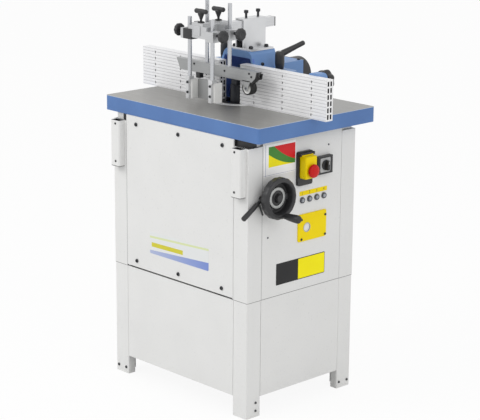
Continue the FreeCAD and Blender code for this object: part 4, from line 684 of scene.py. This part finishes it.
def addSelector(look):
    r, front, (wide, tall) = look["knobR"], look["front"], look["bar"]
    face = placed(plate(look["plate"], 3, 0.25), look["spot"], "x")
    addPiece("selectorFace", [(face, "greyPlastic")], "cabinet", "grey_plastic")
    disc = lathe([(0, 0.3), (r, 0.3), (r, 4), (r - 1.4, 5.3), (0, 5.3)], 0.8)
    grip = softBlock((-wide, -tall, 4.3), (wide, tall, front - 0.2), 1.8)
    mark = softBlock((-0.7, 3.5, front - 0.5), (0.7, tall - 1.8, front), 0.12)
    shells = [(disc, "blackPlastic"), (grip, "blackPlastic"), (mark, "whitePlastic")]
    addMoving("selectorKnob", allPlaced(shells, look["spot"], "x"), "selector_knob")


addSelector(selector)

lamps = dict(x=285.5, z=607.5, ys=[-1 + 29.3 * i for i in range(4)], ring=9, lens=6)


def addLamps(look):
    r, lens = look["ring"], look["lens"]
    ring = lathe([(lens, 0), (r, 0), (r, 2.2), (r - 0.9, 5), (r - 1.8, 6), (lens + 0.2, 5.6), (lens, 4.6),
                  (lens, 0)], 0.6)
    dome = lathe([(0, 0.4), (lens - 0.1, 0.4), (lens - 0.1, 4.2), (lens * 0.75, 6.4), (0, 7)], 1.6, 40, 5)
    lamp = [(ring, "lampRing"), (dome, "lampGlass")]
    shells = [shell for y in look["ys"] for shell in allPlaced(lamp, (look["x"], y, look["z"]), "x")]
    addPiece("indicatorLamps", shells, "cabinet", "chrome", ["indicator_lamps"])


addLamps(lamps)

window = dict(spot=(289.5, 16.5, 526), holeR=13, bezel=14, middle=(40, 526), half=(57.5, 40), corner=6, thick=4)


def addWindow(look):
    x, y, z = look["spot"]
    hole, rim, thick = look["holeR"], look["bezel"], look["thick"]
    across, up = look["middle"]
    cover = pierced(look["half"], look["corner"], thick, (y - across, z - up), hole, 1.2)
    cover = placed(cover, (x - thick, across, up), "x")
    addPiece("windowPlate", [(cover, "yellowPlastic")], "cabinet", "yellow_plastic", ["window_plate"])
    bezel = lathe([(hole - 0.4, -3), (hole - 0.2, -3), (hole - 0.1, 0), (rim, 0), (rim, 1), (rim - 1, 1.8),
                   (hole - 0.4, 1.6), (hole - 0.4, -3)], 0.5, 56)
    dial = turned([(0, -3.4), (hole - 0.3, -3.4), (hole - 0.3, -2.2), (0, -2.0)])
    shells = allPlaced([(bezel, "greyPlastic"), (dial, "paleDial")], look["spot"], "x")
    addPiece("windowDial", shells, "cabinet", "black_plastic")


addWindow(window)
print("controls on the right side done")

# an edge is (base, slope, bend) of a quadratic; ruleY and ruleZ are (middle, half width)
chart = dict(fieldY=(-136, -31.5), fieldZ=(723, 781), red=(222, 40, 44), green=(80, 146, 62),
             greenSecond=(70, 132, 54), yellow=(252, 238, 18), paper=(253, 253, 252), paperSecond=(249, 249, 248),
             rule=(120, 126, 160), bars=(60, 60, 60), redEdge=(0.2, 0.467, 0.667), yellowEdge=(0, 0.08, 0.56),
             soft=0.008, ruleY=(-147.5, 0.9), ruleZ=(701, 0.5))


# printed sheet: three fields split by two curves, u across and v up the field, with faint bars and a rule beside it
def chartFinish(look):
    finish, spot = newFinish("colourChart")
    y, z = spot.parts()[1:]
    u, v = ((part - low * mm) / ((high - low) * mm)
            for part, (low, high) in ((y, look["fieldY"]), (z, look["fieldZ"])))
    left = 1 - u
    redEdge, yellowEdge = (base + slope * left + bend * left * left
                           for base, slope, bend in (look["redEdge"], look["yellowEdge"]))
    red, yellow = (gap.ramp(-look["soft"], look["soft"]) for gap in (v - redEdge, yellowEdge - v))
    grain = spot.noise(1100.0, 2.0)
    field = red.mix(grain.mix(look["green"], look["greenSecond"]), look["red"])
    bars = (u.math("FRACT", u * 8.0) < 0.05) * 0.12
    field = bars.mix(yellow.mix(field, look["yellow"]), look["bars"])
    rule = (y.near(*look["ruleY"]) + z.near(*look["ruleZ"])).ramp() * 0.8
    paper = rule.mix(grain.mix(look["paper"], look["paperSecond"]), look["rule"])
    inside = y.between(*look["fieldY"]) * z.between(*look["fieldZ"])
    return dressed(finish, inside.mix(paper, field), 0.32 + grain.about(0.2), (grain, 0.1, 0.1), gloss=0.2)


sign = dict(spot=(2.2, -215.5, 439), half=(127, 33), base=(228, 230, 230), baseSecond=(223, 226, 226),
            blue=(108, 134, 206), lime=(206, 222, 90), yellow=(208, 200, 40))


# plain sheet on the front: flat bands whose edges rise to the right, u across and v up
def stripeFinish(look):
    finish, spot = newFinish("frontStripes")
    x, z = spot.partsFrom(look["spot"])[::2]
    u, v = (part / (half * mm) * 0.5 + 0.5 for part, half in zip((x, z), look["half"]))
    grain = spot.noise(900.0, 2.0)
    blue = (v < 0.15 + 0.22 * u) * (0.55 + 0.4 * u)
    lime = (abs(v - (0.76 + 0.19 * u)) < 0.045) * 0.55
    yellow = (abs(v - (0.42 + 0.08 * u)) < 0.1) * (u > 0.03) * (u < 0.57)
    colour = grain.mix(look["base"], look["baseSecond"])
    for share, ink in ((blue, "blue"), (lime, "lime"), (yellow, "yellow")):
        colour = share.mix(colour, look[ink])
    return dressed(finish, colour, 0.4 + grain.about(0.2), (grain, 0.12, 0.15))


strip = dict(spot=(285.5, 44.5, 627), half=(56, 6.5), numbers="1234", size=11.5, thick=0.08, proud=0.85)
# thin sheets: slot, then the half size, corner, thickness, spot, finish and direction of each layer
sheets = dict(
    colourChart=("white_plastic", [((62.25, 45), 2.5, 0.6, (285.5, -91.75, 743), "colourChart", "x")]),
    numberStrip=("yellow_plastic", [(strip["half"], 1.5, 0.8, strip["spot"], "yellowPlastic", "x")]),
    twoToneLabel=("yellow_plastic", [((98.8, 31.7), 3, 0.5, (285.5, -2, 406.7), "softBlack", "x"),
                                     ((54, 29.6), 2, 0.7, (285.5, 41.3, 406.7), "yellowSheet", "x")]),
    frontSign=("painted_metal_blue", [(sign["half"], 4, 0.5, sign["spot"], "frontStripes", "-y")]))


# figures: a text curve made a mesh, then stood upright on the right side
def addFigures(look):
    points, faces, start = [], [], 0
    for text, y in zip(look["numbers"], lamps["ys"]):
        curve = bpy.data.curves.new("figure" + text, "FONT")
        curve.body, curve.size, curve.extrude = text, look["size"] * mm, look["thick"] * mm
        curve.align_x, curve.align_y = "CENTER", "CENTER"
        letter = linked("figure" + text, curve)
        bpy.context.view_layer.update()
        mesh = bpy.data.meshes.new_from_object(letter)
        bpy.data.objects.remove(letter)
        spot = np.array([look["spot"][0] + look["proud"], y, look["spot"][2]]) * mm
        points.append(placed(np.array([corner.co for corner in mesh.vertices]), spot, "x"))
        faces += [[start + i for i in face.vertices] for face in mesh.polygons]
        start += len(mesh.vertices)
        bpy.data.meshes.remove(mesh)
    mesh = bpy.data.meshes.new("stripFigures")
    mesh.from_pydata(np.concatenate(points).tolist(), [], faces)
    mesh.materials.append(finishes["blackPlastic"])
    mounted("stripFigures", mesh, "cabinet", "black_plastic")


def addSheets(look):
    finishes.update(colourChart=chartFinish(chart), frontStripes=stripeFinish(sign))
    for name, (slot, layers) in look.items():
        shells = [(placed(plate(half, corner, thick), spot, way), coat)
                  for half, corner, thick, spot, coat, way in layers]
        addPiece(name, shells, "cabinet", slot)


addSheets(sheets)
addFigures(strip)
print("sheets and labels done")

clampLever = dict(left=(-122, 120), right=(108, 60), y=80, z=950.3, hubR=13.8, hubHigh=52, rise=25, arm=76)


def addClampLever(word, look):
    x, heading = look[word]
    spot, r, high, long = (x, look["y"], look["z"]), look["hubR"], look["hubHigh"], look["arm"]
    hub = lathe([(0, 0), (r * 0.85, 0), (r, high * 0.3), (r, high * 0.82), (r * 0.86, high * 0.97), (r * 0.5, high),
                 (0, high)], 3, 48, 6)
    turn, rise = np.radians(heading), np.radians(look["rise"])
    way = (np.cos(rise) * np.cos(turn), np.cos(rise) * np.sin(turn), np.sin(rise))
    arm = bar((0, 0, high * 0.8), way, [0, long * 0.3, long * 0.7, long, long + 3, long + 5, long + 5.5],
              [10, 8.8, 7.4, 7.2, 6.4, 3.8, 1.2])
    cap = lathe([(0, high - 1), (5.5, high - 1), (5.5, high + 0.6), (3.4, high + 1.4), (0, high + 1.6)], 0.6, 32)
    shells = [(hub, "blackPlastic"), (arm, "blackPlastic"), (cap, "zincSteel")]
    addMoving(word + "ClampLever", allPlaced(shells, spot), word + "_clamp_lever")


for word in ("left", "right"):
    addClampLever(word, clampLever)

lobed = dict(star=dict(r=17.9, thick=14, stud=4, studLong=28, swell=0.03, lobes=10),
             fence=dict(r=28.5, thick=28, stud=6, studLong=31, swell=0.08, lobes=7))
crossBars = dict(front=-128, rear=-61)
starSpots = dict(left=(-85, 1063, "-x"), right=(85, 1063, "x"))
fenceKnobs = dict(left=(-308, 45.6, 914), right=(308, 45.6, 948))


# lobed knob: a turned profile whose radius swells at each lobe, a sunk middle and a plain stud behind
def addLobedKnob(name, look, spot, way, body):
    r, thick, long, stud = (look[k] for k in ("r", "thick", "studLong", "stud"))
    side = [(0, 0), (r * 0.5, 0), (r * 0.92, thick * 0.1), (r, thick * 0.3), (r, thick * 0.75),
            (r * 0.86, thick * 0.98), (r * 0.46, thick), (r * 0.38, thick * 0.92), (0, thick * 0.92)]
    head = turned(softCorners(side, r * 0.13, 6), 96, look["lobes"], look["swell"], r * 0.5)
    shank = turned([(0, -long), (stud, -long), (stud, 0.5), (0, 0.5)], 28)
    addMoving(name, allPlaced([(head, "blackPlastic"), (shank, "darkScrew")], spot, way), body)


for word, y in crossBars.items():
    for hand, (x, z, way) in starSpots.items():
        addLobedKnob(word + hand.capitalize() + "Star", lobed["star"], (x, y, z), way, "%s_%s_knob" % (word, hand))
for hand, spot in fenceKnobs.items():
    addLobedKnob(hand + "FenceKnob", lobed["fence"], spot, "y", hand + "_fence_knob")

tee = dict(long=48, gripUp=32, hump=1093)


def addTeeKnob(word, y, look):
    long = look["long"]
    grip = bar((-long / 2, 0, look["gripUp"]), (1, 0, 0),
               [0, 1.2, 4, 12, long / 2, long - 12, long - 4, long - 1.2, long], [3, 5.6, 7, 6.8, 7.2, 6.8, 7, 5.6, 3])
    neck = lathe([(0, 10), (4.4, 10), (5.2, 14), (10, 25), (9, 31), (0, 33)], 3, 40, 6)
    washer = lathe([(3.7, 0.1), (10, 0.1), (10, 2.2), (9, 3), (3.7, 3), (3.7, 0.1)], 0.5, 40)
    stud = turned([(0, -8.1), (3.5, -8.1), (3.5, 12.5), (0, 12.5)], 24)
    shells = [(grip, "blackPlastic"), (neck, "blackPlastic"), (washer, "softBlack"), (stud, "darkScrew")]
    addMoving(word + "TeeKnob", allPlaced(shells, (0, y, look["hump"])), word + "_t_knob")


for word, y in crossBars.items():
    addTeeKnob(word, y, tee)

thumb = dict(ys=dict(front=48.3, rear=96.3), z=1084.8, high=27.2, headR=6.4, ribs=24, ribHigh=0.018)


def addThumbScrew(word, look):
    r, high = look["headR"], look["high"]
    side = [(0, 0), (3.5, 0), (3.5, high - 9.5), (4.6, high - 9.2), (r, high - 8.2), (r, high - 0.8), (r - 0.9, high),
            (2.6, high), (2.2, high - 2.6), (0, high - 2.6)]
    screw = turned(softCorners(side, 0.7), 96, look["ribs"], look["ribHigh"], 5.0)
    shells = allPlaced([(screw, "darkScrew")], (0, look["ys"][word], look["z"]))
    addMoving(word + "ThumbScrew", shells, word + "_thumb_screw", "zinc_steel")


for word in thumb["ys"]:
    addThumbScrew(word, thumb)

roller = dict(spot=(124, -67, 914), r=19.5, wide=24, hub=15.4, bore=4.1)


def addRoller(look):
    r, wide, hub, bore = (look[k] for k in ("r", "wide", "hub", "bore"))
    tyre = lathe([(hub, 0.3), (r - 1.6, 0), (r, 1.8), (r, wide - 1.8), (r - 1.6, wide), (hub, wide - 0.3), (hub, 0.3)],
                 1.0, 64, 5)
    centre = lathe([(bore, 0.5), (7, 0.5), (8, 2.5), (hub - 1.5, 2.5), (hub + 0.1, 1.2), (hub + 0.1, wide - 1.2),
                    (hub - 1.5, wide - 2.5), (8, wide - 2.5), (7, wide - 0.5), (bore, wide - 0.5),
                    (bore, 0.5)], 0.6, 56)
    shells = allPlaced([(tyre, "softBlack"), (centre, "whitePlastic")], look["spot"], "y")
    addPiece("rollerWheel", shells, "roller", "rubber", ["roller_wheel"])


addRoller(roller)

# each bar of the clip is its outline in X and Z, then its low and high Y
bracket = dict(tabR=8, tabTop=((108, 937), (141, 937)), front=-70, pinR=3.9,
               strap=([(166.3, 950.9), (143.3, 930.4), (146.7, 926.6), (169.7, 947.1)], -71, -59),
               frontLeg=([(168.6, 965.5), (163.4, 947), (169, 946), (173.6, 965.5)], -72.4, -66),
               backLeg=([(167.6, 960), (162.2, 946), (168, 945), (172, 960)], -54, -48.6),
               foot=((162.6, -71, 943), (168.6, -49, 947.6), 0.8))


# roller bracket: a tab from the beam down to the pin, its end an arc of tabR, and a black clip over the beam's end
def addRollerBracket(look):
    x, y, z = roller["spot"]
    a = np.radians(np.linspace(195, 345, 24))
    end = polar(look["tabR"], a) + (x, z)
    tab = flatBar(np.vstack([look["tabTop"][:1], end, look["tabTop"][1:]]), look["front"], y - 0.4)
    r, long = look["pinR"], roller["wide"] + 1.6
    pin = bar((x, y - 1, z), (0, 1, 0), [0, long - 1, long], [r, r, r - 0.7], (1, 0, 0))
    head = placed(screwHead(3.4, 1.8), (x, look["front"], z), "-y", 10)
    clip = [flatBar(*look[k]) for k in ("strap", "frontLeg", "backLeg")] + [softBlock(*look["foot"])]
    shells = [(tab, "beamMetal"), (pin, "zincSteel"), (head, "lampRing"), *((part, "softBlack") for part in clip)]
    addPiece("rollerBracket", shells, "beam", "black_plastic", ["roller_bracket"])


addRollerBracket(bracket)

# screw heads by body: spot, direction, radius and height
fittings = dict(
    fence=[((x, y, 1005), "z", 6.5, 7) for x in (-34, 34) for y in (36, 98)]
    + [((68.6, 48, 963), "x", 5.5, 5), ((45, 222, 953), "z", 5, 4), ((-45, 222, 953), "z", 5, 4)],
    beam=[((x, -70, z), "-y", 3.2, 2) for x, z in ((-93, 957), (36, 953), (137, 958), (146, 950))],
    shoe=[((x, -136, z), "-y", 4, 3) for x in (-48.5, 46.5) for z in (917, 888)])
for body, group in fittings.items():
    heads = [(placed(screwHead(r, high), spot, way, 10), "darkScrew") for spot, way, r, high in group]
    addPiece(body + "Fittings", heads, body, "zinc_steel")

# small blocks: low corner, high corner, edge radius, finish, body and slot
blocks = dict(
    frontClampBlock=((-58, -145.4, 1043.6), (-23, -110.6, 1073.4), 1.2, "blackPlastic", "front_bar", "black_plastic"),
    armFrontPlug=((-13.2, -145.8, 1057.2), (13.2, -142.5, 1084.8), 0.8, "barMetal", "guard_arm", "aluminium"),
    beamStop=((-85, -71, 917), (-69, -55, 934), 1.2, "blackPlastic", "beam", "black_plastic"))
for name, (low, high, edge, coat, body, slot) in blocks.items():
    addPiece(name, [(softBlock(low, high, edge), coat)], body, slot)
print("hold-down and fence details done")

stage = dict(half=30.0, z=-0.5 * mm, pale=(247, 247, 246), second=(244, 244, 243), rough=0.9, gloss=0.1, world=0.72,
             white=0.92)


# 1 for rays from the camera, from mirrors and through glass, 0 for the light on the object
def seenBy(wire):
    outlets = wire.node("ShaderNodeLightPath").socket.node.outputs
    kinds = "Camera", "Glossy", "Transmission"
    return sum(Wire(wire.tree, outlets["Is %s Ray" % kind]) for kind in kinds).ramp()


# pale floor that shows as white to the camera and to mirrors, and still takes the shadow
def addStage(look):
    mesh = bpy.data.meshes.new("studioFloor")
    corners = [(sx * look["half"], sy * look["half"], look["z"]) for sx, sy in ((-1, -1), (1, -1), (1, 1), (-1, 1))]
    mesh.from_pydata(corners, [], [(0, 1, 2, 3)])
    finish, spot = newFinish("studioFloor")
    nodes = finish.node_tree.nodes
    shader = nodes["Principled BSDF"]
    pale = spot.noise(30.0, 3.0).mix(look["pale"], look["second"])
    spot.fill(shader, {"Base Color": pale, "Roughness": look["rough"], "Specular IOR Level": look["gloss"]})
    white = spot.node("ShaderNodeEmission", {"Color": (1, 1, 1, 1), "Strength": 1.0})
    sockets = {0: seenBy(spot) * look["white"], 1: Wire(spot.tree, shader.outputs[0]), 2: white}
    spot.fill(nodes["Material Output"], {"Surface": spot.node("ShaderNodeMixShader", sockets)})
    mesh.materials.append(finish)
    floor = linked("studioFloor", mesh)
    world = bpy.data.worlds.new("studio")
    world.use_nodes = True
    bpy.context.scene.world = world
    sky = Wire(world.node_tree)
    strength = look["world"] + seenBy(sky) * (1 - look["world"])
    sky.fill(world.node_tree.nodes["Background"], {"Color": (1, 1, 1, 1), "Strength": strength})


# stands an object at a spot with its X, Y and Z along three directions
def stand(made, spot, axes):
    made.matrix_world = Matrix.Translation(spot) @ Matrix(np.column_stack(axes).tolist()).to_4x4()


lights = dict(key=dict(spot=(-1.6, -3.4, 3.6), size=2.6, power=62),
              side=dict(spot=(3.6, -0.6, 2.8), size=2.6, power=22))
lightAim = (0, 0, 0.6)


def addLights(look):
    for name, lamp in look.items():
        data = bpy.data.lights.new(name + "Softbox", "AREA")
        data.shape, data.size, data.energy = "DISK", lamp["size"], lamp["power"]
        away = unit(np.array(lamp["spot"]) - lightAim)
        side = unit(np.cross([0, 0, 1], away))
        stand(linked(name + "Softbox", data), lamp["spot"], (side, np.cross(away, side), away))


view = dict(spot=(3.576578, -3.389572, 1.823124), focalPixels=1722.09, yaw=-46.2883, pitch=14.783, roll=0.4376,
            width=480, sensor=36.0, far=200)


def addCamera(look):
    yaw, pitch, roll = np.radians([look["yaw"], look["pitch"], look["roll"]])
    ahead = np.array([np.sin(yaw) * np.cos(pitch), np.cos(yaw) * np.cos(pitch), -np.sin(pitch)])
    right = np.array([np.cos(yaw), -np.sin(yaw), 0])
    up = np.cross(right, ahead)
    right, up = np.cos(roll) * right + np.sin(roll) * up, np.cos(roll) * up - np.sin(roll) * right
    data = bpy.data.cameras.new("photoView")
    data.sensor_fit, data.sensor_width = "HORIZONTAL", look["sensor"]
    data.lens = look["focalPixels"] * look["sensor"] / look["width"]
    data.clip_end = look["far"]
    camera = linked("photoView", data)
    stand(camera, look["spot"], (right, up, -ahead))
    bpy.context.scene.camera = camera


addStage(stage)
addLights(lights)
addCamera(view)
bpy.context.scene.view_settings.view_transform = "Standard"
print("stage, lights and camera set")
